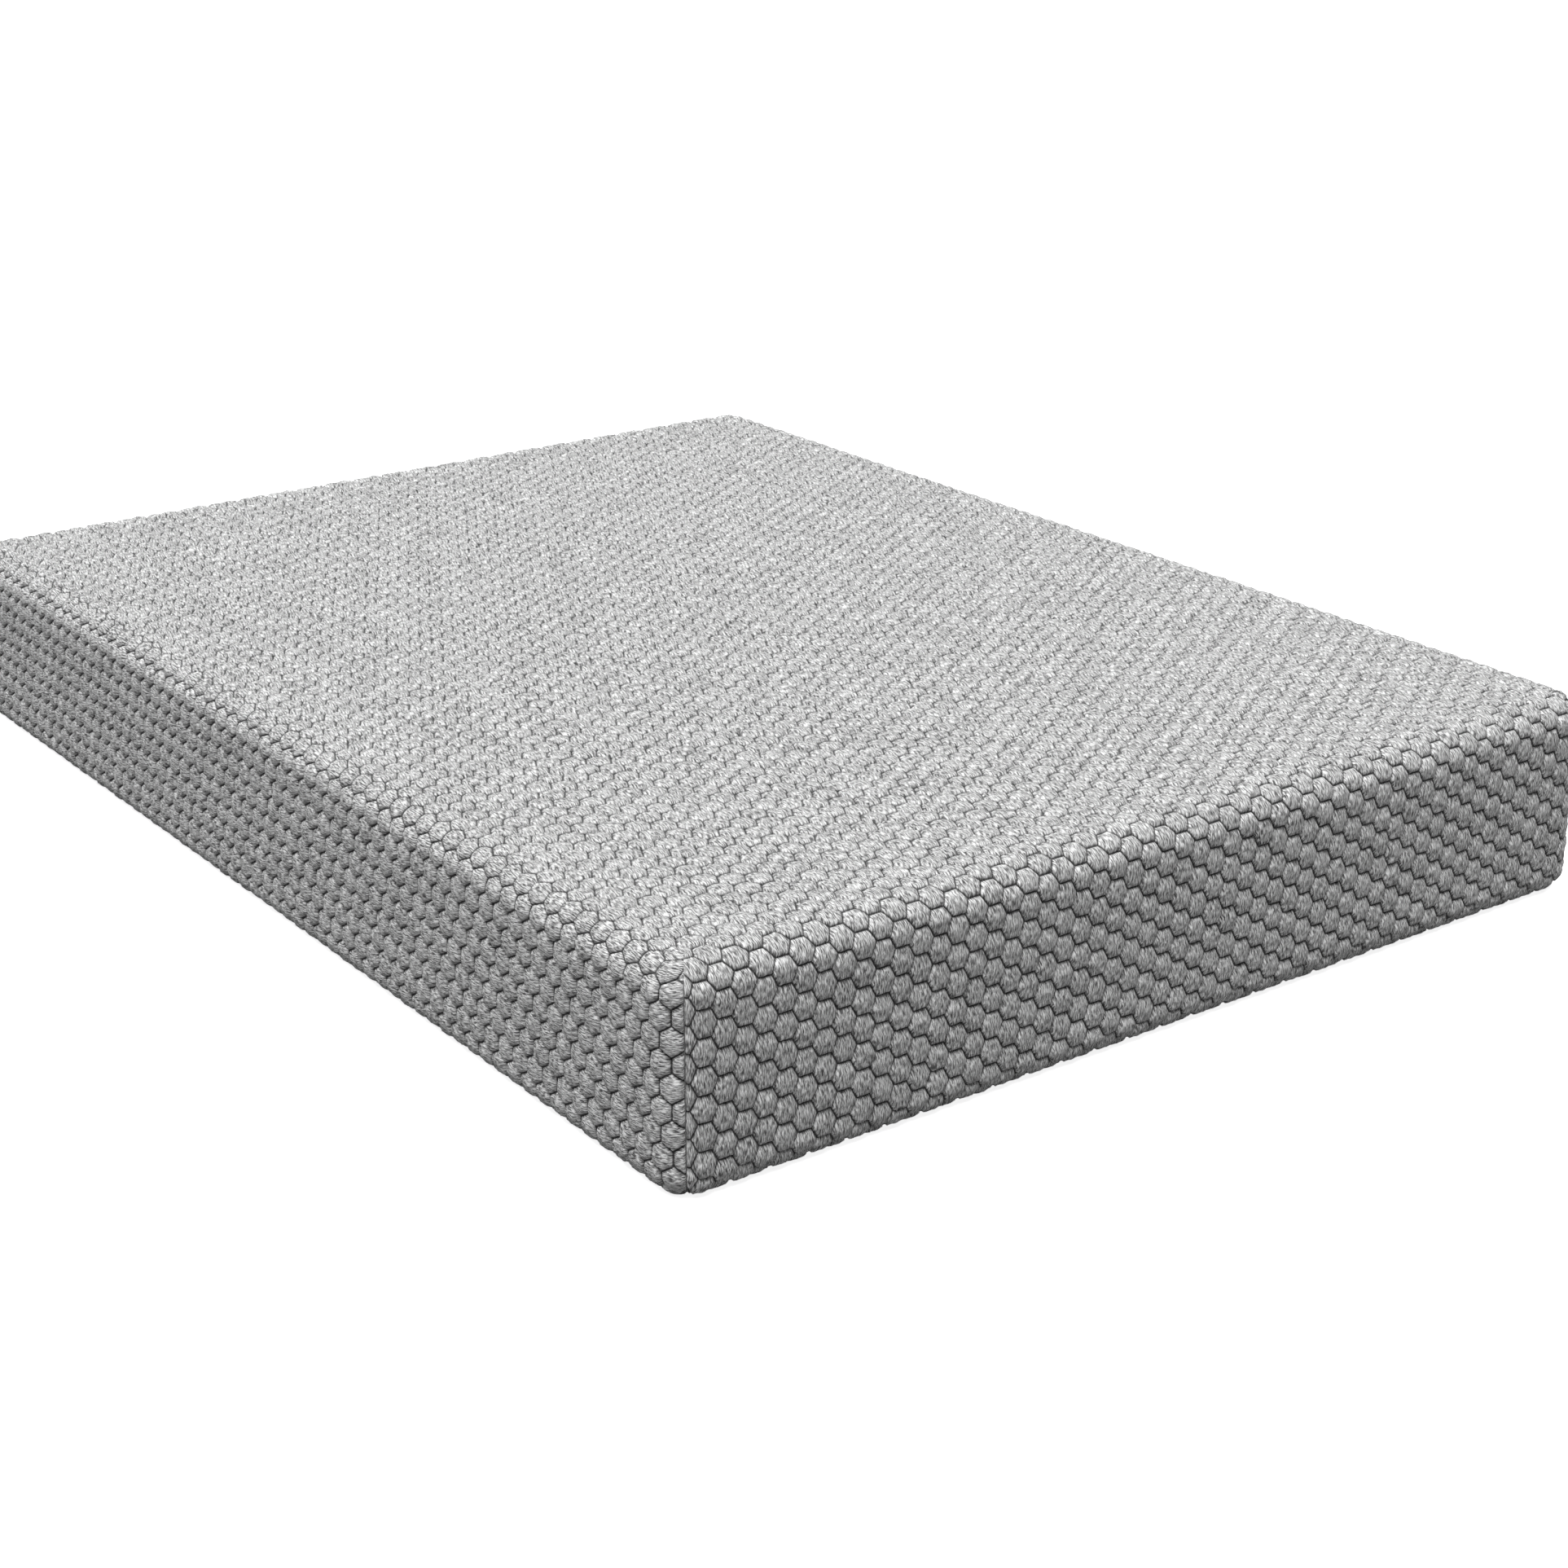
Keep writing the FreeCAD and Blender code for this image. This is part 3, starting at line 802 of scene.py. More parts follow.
def grain_effect() -> NodeTree:
    """Fine uneven grain with slow clouds in it, as from handling and wear.

    Returns:
        The shared group.
    """
    group = Effect("fine_grain", {"Vector": None, "Grain": MM, "Cloud": 60 * MM}, ("Shade", "Wear"))
    results = {}
    darkest, lightest = 0.3, 0.7
    for label, size in (("Shade", "Grain"), ("Wear", "Cloud")):
        scale = group.math("DIVIDE", 1.0, group.takes[size])
        noise = group.add("ShaderNodeTexNoise", {
            "Vector": group.takes["Vector"], "Scale": scale, "Detail": 3.0})
        results[label] = group.remap(noise, darkest, lightest)
    group.give(**results)
    return group.tree


def cell_effect() -> NodeTree:
    """Open cells: round pits of uneven size.

    Returns:
        The shared group.
    """
    group = Effect("open_cells", {"Vector": None, "Cell": 2 * MM}, ("Height",))
    scale = group.math("DIVIDE", 1.0, group.takes["Cell"])
    cell = group.add("ShaderNodeTexVoronoi", {"Vector": group.takes["Vector"], "Scale": scale})
    pit, rim = 0.1, 0.5
    group.give(Height=group.remap(cell.outputs["Distance"], pit, rim))
    return group.tree


@dataclass
class EffectShelf:
    """The shared effects, each made once."""

    yarn: NodeTree
    weave: NodeTree
    grain: NodeTree
    cells: NodeTree


SHELF = EffectShelf(yarn_effect(), weave_effect(), grain_effect(), cell_effect())


class Mapping(Enum):
    """What a finish takes its pattern's place from."""

    FABRIC = "fabric"
    SPACE = "space"


@dataclass(frozen=True)
class Finish:
    """A finish for one kind of material; the kinds below lay their own patterns."""

    name: str
    dark: float
    light: float
    roughness: float = 0.9
    sheen: float = 0.0
    relief: float = 0.2 * MM
    mapping: Mapping = Mapping.SPACE
    metal: float = 0.0
    coat: float = 0.0
    sheen_roughness: float = 0.6

    def material(self) -> Material:
        """Makes the material.

        Returns:
            The material, with its pattern wired to the shader.
        """
        material = bpy.data.materials.new(self.name)
        material.use_nodes = True
        wiring = Wiring(material.node_tree)
        shader = material.node_tree.nodes["Principled BSDF"]
        for label, value in (("Roughness", self.roughness), ("Sheen Weight", self.sheen),
                             ("Sheen Roughness", self.sheen_roughness), ("Metallic", self.metal),
                             ("Coat Weight", self.coat)):
            shader.inputs[label].default_value = value
        if self.mapping is Mapping.FABRIC:
            place = wiring.add("ShaderNodeUVMap", uv_map="fabric").outputs[0]
        else:
            place = wiring.add("ShaderNodeTexCoord").outputs["Object"]
        feeds, height = self.pattern(wiring, place)
        bump = wiring.add("ShaderNodeBump", {"Height": height, "Distance": self.relief})
        for label, socket in {**feeds, "Normal": bump.outputs[0]}.items():
            material.node_tree.links.new(socket, shader.inputs[label])
        return material

    def tones(self) -> tuple[tuple[float, ...], tuple[float, ...]]:
        """The darkest and the lightest colour."""
        return (self.dark,) * 3 + (1.0,), (self.light,) * 3 + (1.0,)

    @staticmethod
    def effect(wiring: Wiring, tree: NodeTree, place: Socket,
               **sizes: float) -> Node:
        """Places a shared effect in the material, with its own sizes.

        Args:
            wiring: The material's nodes.
            tree: The effect.
            place: Where each point is, in metres.
            sizes: A value for each input by name.

        Returns:
            The group's node.
        """
        node = wiring.add("ShaderNodeGroup", node_tree=tree)
        wiring.tree.links.new(place, node.inputs["Vector"])
        for label, size in sizes.items():
            node.inputs[label].default_value = size
        return node

    def pattern(self, wiring: Wiring, place: Socket) -> tuple[dict[str, Socket], Socket]:
        """Lays the finish's own pattern.

        Args:
            wiring: The material's nodes.
            place: Where each point is, in metres.

        Returns:
            What feeds the shader, by input, and the height of the surface.
        """
        raise NotImplementedError


@dataclass(frozen=True)
class KnitFinish(Finish):
    """Heathered stretch knit with deep creases between its puffs, its colour darkened towards each crease
    as painted crease shadow.
    """

    yarn_width: float = 1.3 * MM
    yarn_length: float = 8.0 * MM
    slub_width: float = 3.0 * MM
    slub_length: float = 13.0 * MM
    fibre_width: float = 0.35 * MM
    fibre_length: float = 4.0 * MM
    cloud: float = 48 * MM
    # Painted crease shadow: the colour is darkened to this share at the bottom of each crease, fading out
    # by this puff height.
    crease_shade: float = 0.12
    crease_edge: float = 0.44
    shares: tuple[float, ...] = (0.64, 0.22, 0.10, 0.04)
    relief_shares: tuple[float, ...] = (0.6, 0.3)
    fleck_spacing: float = 55 * MM
    fleck_stretch: tuple[float, float, float] = (1.6, 0.7, 1.0)
    fleck_edge: tuple[float, float] = (0.11, 0.03)
    fleck_limit: float = 0.45
    fleck_shade: float = 0.45

    def pattern(self, wiring: Wiring, place: Socket) -> tuple[dict[str, Socket], Socket]:
        """Streaks of light and dark yarn, painted shadow in the creases, slow clouds and a few dark flecks.

        Args:
            wiring: The material's nodes.
            place: Where each point is, in metres.

        Returns:
            What feeds the shader, by input, and the height of the surface.
        """
        fine = self.effect(wiring, SHELF.yarn, place, Width=self.yarn_width, Length=self.yarn_length)
        slub = self.effect(wiring, SHELF.yarn, place, Width=self.slub_width, Length=self.slub_length,
                           Seed=5.0)
        grain = self.effect(wiring, SHELF.grain, place, Cloud=self.cloud)
        fibre = self.effect(wiring, SHELF.yarn, place, Width=self.fibre_width,
                            Length=self.fibre_length, Seed=9.0)
        parts = (fine.outputs[0], slub.outputs[0], grain.outputs["Wear"], fibre.outputs[0])
        yarn = wiring.blend(*zip(parts, self.shares))
        dark, light = self.tones()
        # Painted crease shadow: the colour darkens towards each crease by the stored puff height; the
        # flecks then darken it further.
        puff = wiring.add("ShaderNodeAttribute", attribute_name="puff").outputs["Fac"]
        unshadowed_share = wiring.remap(puff, 0.0, self.crease_edge)
        shade = wiring.remap(unshadowed_share, 0.0, 1.0, self.crease_shade, 1.0)
        shade = wiring.math("MULTIPLY", shade, self.flecks(wiring, place))
        colour = wiring.tint(shade, (0.0, 0.0, 0.0, 1.0), wiring.tint(yarn, dark, light))
        strands = wiring.blend(*zip((slub.outputs[0], fibre.outputs[0]), self.relief_shares))
        return {"Base Color": colour}, wiring.math("ADD", fine.outputs[0], strands)

    def flecks(self, wiring: Wiring, place: Socket) -> Socket:
        """The shade of a few small dark flecks, 1 everywhere else.

        Args:
            wiring: The material's nodes.
            place: Where each point is, in metres.

        Returns:
            The shade.
        """
        spread = wiring.add("ShaderNodeVectorMath", {0: place, 1: self.fleck_stretch},
                            operation="MULTIPLY")
        spots = wiring.add("ShaderNodeTexVoronoi", {"Vector": spread, "Scale": 1 / self.fleck_spacing})
        chance = wiring.add("ShaderNodeSeparateColor", {0: spots.outputs["Color"]})
        pick = wiring.math("GREATER_THAN", chance, self.fleck_limit)
        fleck = wiring.math("MULTIPLY", wiring.remap(spots.outputs["Distance"], *self.fleck_edge), pick)
        return wiring.remap(fleck, 0.0, 1.0, 1.0, self.fleck_shade)


@dataclass(frozen=True)
class WovenFinish(Finish):
    """Plain woven, knitted or twisted threads."""

    thread: float = 0.8 * MM
    uneven: float = 0.4

    def pattern(self, wiring: Wiring, place: Socket) -> tuple[dict[str, Socket], Socket]:
        """Threads over and under, with uneven yarn in them; the colour is darker where the threads dip, as
        painted shade.

        Args:
            wiring: The material's nodes.
            place: Where each point is, in metres.

        Returns:
            What feeds the shader, by input, and the height of the surface.
        """
        weave = self.effect(wiring, SHELF.weave, place, Thread=self.thread)
        yarn = self.effect(wiring, SHELF.yarn, place, Width=self.thread, Length=12 * self.thread)
        # Painted shade: the colour follows the thread height, darker where the threads dip under each
        # other; the yarn share is uneven tone.
        share = wiring.blend((weave.outputs[0], 1 - self.uneven), (yarn.outputs[0], self.uneven))
        return {"Base Color": wiring.tint(share, *self.tones())}, weave.outputs[0]


@dataclass(frozen=True)
class FoamFinish(Finish):
    """Cut face of open-cell foam."""

    cell: float = 1.6 * MM
    large_cells: float = 2.7
    # Painted shade: how much darker the colour is painted in the deepest cells.
    pit_shade: float = 0.2
    least_tone: float = 0.7
    cloud_tone: float = 0.3

    def pattern(self, wiring: Wiring, place: Socket) -> tuple[dict[str, Socket], Socket]:
        """Small and large cells, slightly uneven in colour, and darker where the cells are deeper, as
        painted shade.

        Args:
            wiring: The material's nodes.
            place: Where each point is, in metres.

        Returns:
            What feeds the shader, by input, and the height of the surface.
        """
        small = self.effect(wiring, SHELF.cells, place, Cell=self.cell)
        large = self.effect(wiring, SHELF.cells, place, Cell=self.cell * self.large_cells)
        grain = self.effect(wiring, SHELF.grain, place, Grain=4 * self.cell)
        height = wiring.math("ADD", small.outputs[0], large.outputs[0])
        # Painted shade: the colour darkens with the depth of the cells; the clouds are uneven tone.
        tone = wiring.blend((height, -self.pit_shade), (grain.outputs["Wear"], self.cloud_tone))
        share = wiring.math("ADD", tone, self.least_tone)
        return {"Base Color": wiring.tint(share, *self.tones())}, wiring.math("MULTIPLY", height, -1.0)


@dataclass(frozen=True)
class SmoothFinish(Finish):
    """Moulded nylon, plated metal, thread or dried glue: a fine grain, rougher where it is handled."""

    grain: float = 0.4 * MM
    cloud: float = 8 * MM
    worn: float = 0.4
    handling: float = 0.25

    def pattern(self, wiring: Wiring, place: Socket) -> tuple[dict[str, Socket], Socket]:
        """Grain in the colour and the height, and slow wear in the roughness.

        Args:
            wiring: The material's nodes.
            place: Where each point is, in metres.

        Returns:
            What feeds the shader, by input, and the height of the surface.
        """
        grain = self.effect(wiring, SHELF.grain, place, Grain=self.grain, Cloud=self.cloud)
        rough = wiring.remap(grain.outputs["Wear"], 0.0, 1.0, self.roughness * (1 - self.handling),
                             min(self.roughness * (1 + self.handling), 1.0))
        share = wiring.blend((grain.outputs["Shade"], 1 - self.worn), (grain.outputs["Wear"], self.worn))
        feeds = {"Base Color": wiring.tint(share, *self.tones()), "Roughness": rough}
        return feeds, grain.outputs["Shade"]


class Cloths(Enum):
    """The finish of each material slot."""

    COVER = KnitFinish("heathered_knit", 0.02, 0.98, 0.95, 0.12, 0.6 * MM, Mapping.FABRIC)
    BASE = WovenFinish("base_weave", 0.14, 0.30, 0.9, 0.1, 0.3 * MM, thread=1.6 * MM)
    GRIP = SmoothFinish("grip_rubber", 0.10, 0.16, 0.7, grain=0.5 * MM)
    THREAD = SmoothFinish("sewing_thread", 0.10, 0.26, 0.75, 0.1, 0.1 * MM, grain=0.3 * MM)
    TAPE = WovenFinish("zip_tape_weave", 0.12, 0.26, 0.85, 0.05, 0.15 * MM, Mapping.FABRIC, thread=0.7 * MM)
    PATCH = WovenFinish("zip_patch_weave", 0.12, 0.26, 0.85, 0.05, 0.15 * MM, thread=0.7 * MM)
    COIL = SmoothFinish("coil_nylon", 0.10, 0.18, 0.4, relief=0.02 * MM, grain=0.3 * MM)
    METAL = SmoothFinish("plated_metal", 0.45, 0.62, 0.32, relief=0.02 * MM, metal=1.0, grain=0.25 * MM)
    SOCK = WovenFinish("barrier_knit", 0.62, 0.84, 0.9, 0.1, 0.3 * MM, thread=1.4 * MM)
    MEMORY = FoamFinish("memory_foam", 0.55, 0.82, 0.9, relief=0.5 * MM, cell=1.2 * MM)
    TRANSITION = FoamFinish("transition_foam", 0.62, 0.88, 0.9, relief=0.6 * MM, cell=1.6 * MM)
    SUPPORT = FoamFinish("support_foam", 0.45, 0.70, 0.9, relief=0.8 * MM, cell=2.2 * MM)
    GLUE = SmoothFinish("dried_glue", 0.70, 0.88, 0.45, relief=0.2 * MM, grain=2.5 * MM, coat=0.3)


MATERIALS = {cloth: cloth.value.material() for cloth in Cloths}


def show(name: str, mesh: Mesh, cloth: Cloths) -> Object:
    """Puts a finished mesh in the scene in one finish.

    Args:
        name: Name of the piece.
        mesh: Its mesh.
        cloth: Its finish.

    Returns:
        The piece.
    """
    if not mesh.materials:
        mesh.materials.append(MATERIALS[cloth])
    piece = bpy.data.objects.new(name, mesh)
    bpy.context.scene.collection.objects.link(piece)
    return piece


def fit(piece: Object, slot: str, *nodes: str) -> Object:
    """Lets a piece ride on the mattress in place of its CAD nodes.

    Args:
        piece: The piece.
        slot: The record's material slot of the piece, written to the log when the piece stands for no CAD
            node.
        nodes: The CAD nodes it stands for.

    Returns:
        The piece.
    """
    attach(piece, MATTRESS_BODY)
    if nodes:
        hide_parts(*nodes)
    LOG.info("%s: %d faces for %s", piece.name, len(piece.data.polygons), ", ".join(nodes) or slot)
    return piece


def settled(name: str, mesh: Mesh, tree: "PieceTree", sizes: dict[str, object]) -> Object:
    """Runs a tree on a mesh and keeps only its plain result.

    Args:
        name: Name of the piece.
        mesh: The path or points that the tree works on.
        tree: The Geometry Nodes tree.
        sizes: A value for each named input of the tree.

    Returns:
        The finished piece.
    """
    path = bpy.data.objects.new(f"{name}_path", mesh)
    bpy.context.scene.collection.objects.link(path)
    modifier = path.modifiers.new("row", "NODES")
    modifier.node_group = tree.tree
    for item in tree.tree.interface.items_tree:
        if item.in_out == "INPUT" and item.name in sizes:
            modifier[item.identifier] = sizes[item.name]
    depsgraph = bpy.context.evaluated_depsgraph_get()
    result = bpy.data.meshes.new_from_object(path.evaluated_get(depsgraph))
    result.name = name
    path.modifiers.clear()
    bpy.data.objects.remove(path)
    piece = bpy.data.objects.new(name, result)
    bpy.context.scene.collection.objects.link(piece)
    return piece


class Row(Enum):
    """What is set along a path."""

    STITCH = "stitch"
    COIL = "coil"


@dataclass(frozen=True)
class RowSizes:
    """Sizes and finish of one row of stitches or coil turns, each the tree's input of the same name."""

    pitch: float
    reach: float
    rise: float
    thread: float
    cord: float = 0.0
    offset: float = 0.0
    unevenness: float = 0.0
    seed: int = 0
    finish: Material = MATERIALS[Cloths.THREAD]

    def inputs(self) -> dict[str, object]:
        """The tree's inputs, by name."""
        return {name.capitalize(): value for name, value in vars(self).items()}


class PieceTree(Wiring):
    """A Geometry Nodes tree with named inputs, which gives out one plain dressed mesh."""

    def __init__(self, name: str, numbers: tuple[str, ...], seeds: tuple[str, ...] = ()) -> None:
        """Makes the empty tree.

        Args:
            name: The tree's name.
            numbers: Names of the inputs that are sizes.
            seeds: Names of the inputs that are seeds.
        """
        super().__init__(bpy.data.node_groups.new(name, "GeometryNodeTree"))
        kinds = {"Geometry": "Geometry", **dict.fromkeys(numbers, "Float"),
                 **dict.fromkeys(seeds, "Int"), "Finish": "Material"}
        for label, kind in kinds.items():
            self.tree.interface.new_socket(name=label, in_out="INPUT", socket_type=f"NodeSocket{kind}")
        self.tree.interface.new_socket(name="Geometry", in_out="OUTPUT",
                                       socket_type="NodeSocketGeometry")
        self.sizes = self.tree.nodes.new("NodeGroupInput").outputs

    def give(self, shape: Node) -> None:
        """Dresses the plain shape and gives it out.

        Args:
            shape: The node that makes the shape.
        """
        dressed = self.add("GeometryNodeSetMaterial", {0: shape, "Material": self.sizes["Finish"]})
        out = self.tree.nodes.new("NodeGroupOutput")
        self.tree.links.new(dressed.outputs[0], out.inputs[0])


class RowTree(PieceTree):
    """A tree that sets one small shape along a path, at an even pitch."""

    lean: float = 0.12
    cord_sides: int = 5
    turn_sides: int = 4
    turn_steps: int = 7
    stitch_steps: int = 4

    def __init__(self, row: Row) -> None:
        """Builds the tree for one kind of row.

        Args:
            row: What is set along the path.
        """
        numbers = ("Pitch", "Reach", "Rise", "Thread", "Cord", "Offset", "Unevenness")
        super().__init__(f"{row.value}_row", numbers, ("Seed",))
        curve = self.add("GeometryNodeMeshToCurve", {0: self.sizes["Geometry"]})
        points = self.add("GeometryNodeCurveToPoints", {0: curve, "Length": self.sizes["Pitch"]},
                          mode="LENGTH")
        start = self.add("GeometryNodeInputNamedAttribute", {0: "facing"}, data_type="FLOAT_VECTOR")
        ahead = self.add("FunctionNodeAlignRotationToVector", {"Vector": points.outputs["Tangent"]},
                         axis="X")
        turned = self.add("FunctionNodeAlignRotationToVector", {
            "Rotation": ahead, "Vector": start}, axis="Z", pivot_axis="X")
        uneven = self.add("FunctionNodeRandomValue", {
            2: self.math("SUBTRACT", 1.0, self.sizes["Unevenness"]),
            3: self.math("ADD", 1.0, self.sizes["Unevenness"]), "Seed": self.sizes["Seed"]},
            data_type="FLOAT")
        shape = self.stitch() if row is Row.STITCH else self.coil_turn()
        row_of = self.add("GeometryNodeInstanceOnPoints", {
            "Points": points.outputs["Points"], "Instance": shape, "Rotation": turned,
            "Scale": uneven.outputs[1]})
        plain = self.add("GeometryNodeRealizeInstances", {0: row_of})
        cord = self.add("GeometryNodeCurveToMesh", {
            0: curve, 1: self.ring(self.cord_sides, self.sizes["Cord"])})
        wanted = self.math("GREATER_THAN", self.sizes["Cord"], 0.0)
        kept = self.add("GeometryNodeSwitch", {0: wanted, 2: cord}, input_type="GEOMETRY")
        joined = self.add("GeometryNodeJoinGeometry", {0: plain})
        self.tree.links.new(kept.outputs[0], joined.inputs[0])
        self.give(self.add("GeometryNodeSetShadeSmooth", {0: joined}))

    def ring(self, sides: int, radius: object) -> Socket:
        """A round path, such as the section of a thread."""
        return self.add("GeometryNodeCurvePrimitiveCircle", {0: sides, 4: radius}).outputs[0]

    def stitch(self) -> Socket:
        """One stitch: a short bow of thread that dips into the fabric at both ends.

        Returns:
            The stitch's mesh.
        """
        half = self.math("MULTIPLY", self.sizes["Reach"], 0.5)
        back = self.math("MULTIPLY", half, -1.0)
        ends = [self.add("ShaderNodeCombineXYZ", {0: place, 2: self.sizes["Offset"]})
                for place in (back, half)]
        peak = self.math("ADD", self.sizes["Offset"], self.math("MULTIPLY", self.sizes["Rise"], 2.0))
        middle = self.add("ShaderNodeCombineXYZ", {2: peak})
        bow = self.add("GeometryNodeCurveQuadraticBezier", {
            0: self.stitch_steps, 1: ends[0], 2: middle, 3: ends[1]})
        section = self.ring(self.cord_sides, self.sizes["Thread"])
        return self.add("GeometryNodeCurveToMesh", {0: bow, 1: section, "Fill Caps": True}).outputs[0]

    def coil_turn(self) -> Socket:
        """One turn of a coil: an oval ring of nylon that stands across the path.

        Returns:
            The turn's mesh.
        """
        size = self.add("ShaderNodeCombineXYZ", {
            0: self.sizes["Rise"], 1: self.sizes["Reach"], 2: 1.0})
        move = self.add("ShaderNodeCombineXYZ", {1: self.sizes["Offset"]})
        upright = self.add("GeometryNodeTransform", {
            0: self.ring(self.turn_steps, 1.0), "Translation": move,
            "Rotation": (0.0, math.pi / 2, self.lean), "Scale": size})
        section = self.ring(self.turn_sides, self.sizes["Thread"])
        return self.add("GeometryNodeCurveToMesh", {0: upright, 1: section}).outputs[0]


class DotTree(PieceTree):
    """A tree that sets a low round dot on each point."""

    sides: int = 10
    taper: float = 0.72

    def __init__(self) -> None:
        """Builds the tree."""
        super().__init__("dot_field", ("Radius", "Height"))
        dot = self.add("GeometryNodeMeshCone", {
            "Vertices": self.sides, "Radius Bottom": self.sizes["Radius"], "Depth": self.sizes["Height"],
            "Radius Top": self.math("MULTIPLY", self.sizes["Radius"], self.taper)})
        field = self.add("GeometryNodeInstanceOnPoints", {
            "Points": self.sizes["Geometry"], "Instance": dot, "Rotation": (math.pi, 0.0, 0.0)})
        self.give(self.add("GeometryNodeRealizeInstances", {0: field}))


UP = np.array([0.0, 0.0, 1.0])
DOWN = -UP


def path_mesh(name: str, points: Array, facing: Array) -> Mesh:
    """A path as a mesh of edges, each point with the direction its row faces.

    Args:
        name: Name of the mesh.
        points: The path's points.
        facing: One direction for all the points, or one for each.

    Returns:
        The mesh.
    """
    mesh = bpy.data.meshes.new(name)
    links = [(step, step + 1) for step in range(len(points) - 1)]
    mesh.from_pydata(points.tolist(), links, [])
    way = mesh.attributes.new("facing", "FLOAT_VECTOR", "POINT")
    way.data.foreach_set("vector", np.broadcast_to(facing, points.shape).astype(np.float32).ravel())
    return mesh


@dataclass(frozen=True)
class CornerSeams:
    """The four upright seams where the side flaps of the net are sewn together."""

    form: CoverForm
    sink: float = 4.2 * MM
    start: float = 0.62
    hem_gap: float = 4 * MM
    steps: int = 48
    row: RowSizes = RowSizes(4 * MM, 3.2 * MM, 0.35 * MM, 0.45 * MM, 0.8 * MM, 0.4 * MM, 0.08)

    def build(self, tree: RowTree) -> None:
        """Makes one sewn seam for each corner.

        Args:
            tree: The tree that sews.
        """
        form = self.form
        arc = np.linspace(self.start * form.top_arc, form.hem_end - self.hem_gap, self.steps)
        spot, facing = form.place(Flap.END, form.seam_place(Flap.END, arc), arc)
        spot = spot - facing * self.sink
        corners = [(end, side, x_sign, y_sign) for end, y_sign in (("foot", -1), ("head", 1))
                   for side, x_sign in (("left", -1), ("right", 1))]
        for number, (end, side, x_sign, y_sign) in enumerate(corners):
            turn = np.array([x_sign, y_sign, 1])
            name = f"corner_seam_{end}_{side}"
            path = path_mesh(name, spot * turn, facing * turn)
            seam = settled(f"{name}_sewn", path, tree, replace(self.row, seed=number).inputs())
            fit(seam, "seam_thread", name)


@dataclass(frozen=True)
class Block:
    """A block with a rounded outline and rounded level edges."""

    low: tuple[float, float, float]
    high: tuple[float, float, float]
    corner: float
    top_edge: float
    base_edge: float
    corner_steps: int = 10
    edge_steps: int = 6
    straight_steps: int = 12
    least_corner: float = 0.5 * MM
    sharp_angle: float = math.radians(40)

    def outline(self, inset: float) -> Array:
        """The outline at an inset, counter-clockwise from above.

        Args:
            inset: Distance inside the block's side.

        Returns:
            The outline, as (x, y) rows.
        """
        half = (np.array(self.high) - np.array(self.low))[:2] / 2 - inset
        middle = (np.array(self.high) + np.array(self.low))[:2] / 2
        radius = max(self.corner - inset, self.least_corner)
        rows = []
        for quarter, (sx, sy) in enumerate(((1, 1), (-1, 1), (-1, -1), (1, -1))):
            turns = (quarter + np.linspace(0, 1, self.corner_steps + 1)) * math.pi / 2
            centre = (half - radius) * (sx, sy)
            rows.append(centre + radius * np.column_stack([np.cos(turns), np.sin(turns)]))
        full = np.concatenate(rows)
        ends = np.roll(full, -1, axis=0)
        ring = []
        for spot, following in zip(full, ends):
            count = self.straight_steps if np.hypot(*(following - spot)) > 4 * self.corner else 1
            ring += [spot + (following - spot) * step / count for step in range(count)]
        return np.array(ring) + middle

    def mesh(self, name: str, hollow: float = 0.0) -> Mesh:
        """Makes the closed mesh.

        Args:
            name: Name of the mesh.
            hollow: Wall thickness where the block is a hollow sock, or 0.

        Returns:
            The mesh, with its faces outwards.
        """
        parts = [self]
        if hollow:
            shrunk = np.array([hollow] * 3)
            parts.append(Block(tuple(np.array(self.low) + shrunk), tuple(np.array(self.high) - shrunk),
                               self.corner - hollow, self.top_edge - hollow, self.base_edge - hollow))
        points, faces = [], []
        for number, part in enumerate(parts):
            turns = np.linspace(0, math.pi / 2, part.edge_steps + 1)
            levels = [(part.base_edge * (1 - math.sin(t)),
                       part.low[2] + part.base_edge * (1 - math.cos(t))) for t in turns]
            levels += [(part.top_edge * (1 - math.sin(t)),
                        part.high[2] - part.top_edge * (1 - math.cos(t))) for t in turns[::-1]]
            rings = [np.column_stack([part.outline(inset), np.full(len(part.outline(inset)), level)])
                     for inset, level in levels]
            count, base = len(rings[0]), len(points)
            points += [tuple(point) for ring in rings for point in ring]
            shell = []
            for ring in range(len(rings) - 1):
                for step in range(count):
                    near, far = base + ring * count, base + (ring + 1) * count
                    following = (step + 1) % count
                    shell.append((near + step, near + following, far + following, far + step))
            shell.append(tuple(base + step for step in reversed(range(count))))
            shell.append(tuple(base + (len(rings) - 1) * count + step for step in range(count)))
            faces += [face[::-1] for face in shell] if number else shell
        mesh = bpy.data.meshes.new(name)
        mesh.from_pydata(points, [], faces)
        mesh.validate()
        mesh.shade_smooth()
        mesh.set_sharp_from_angle(angle=self.sharp_angle)
        return mesh


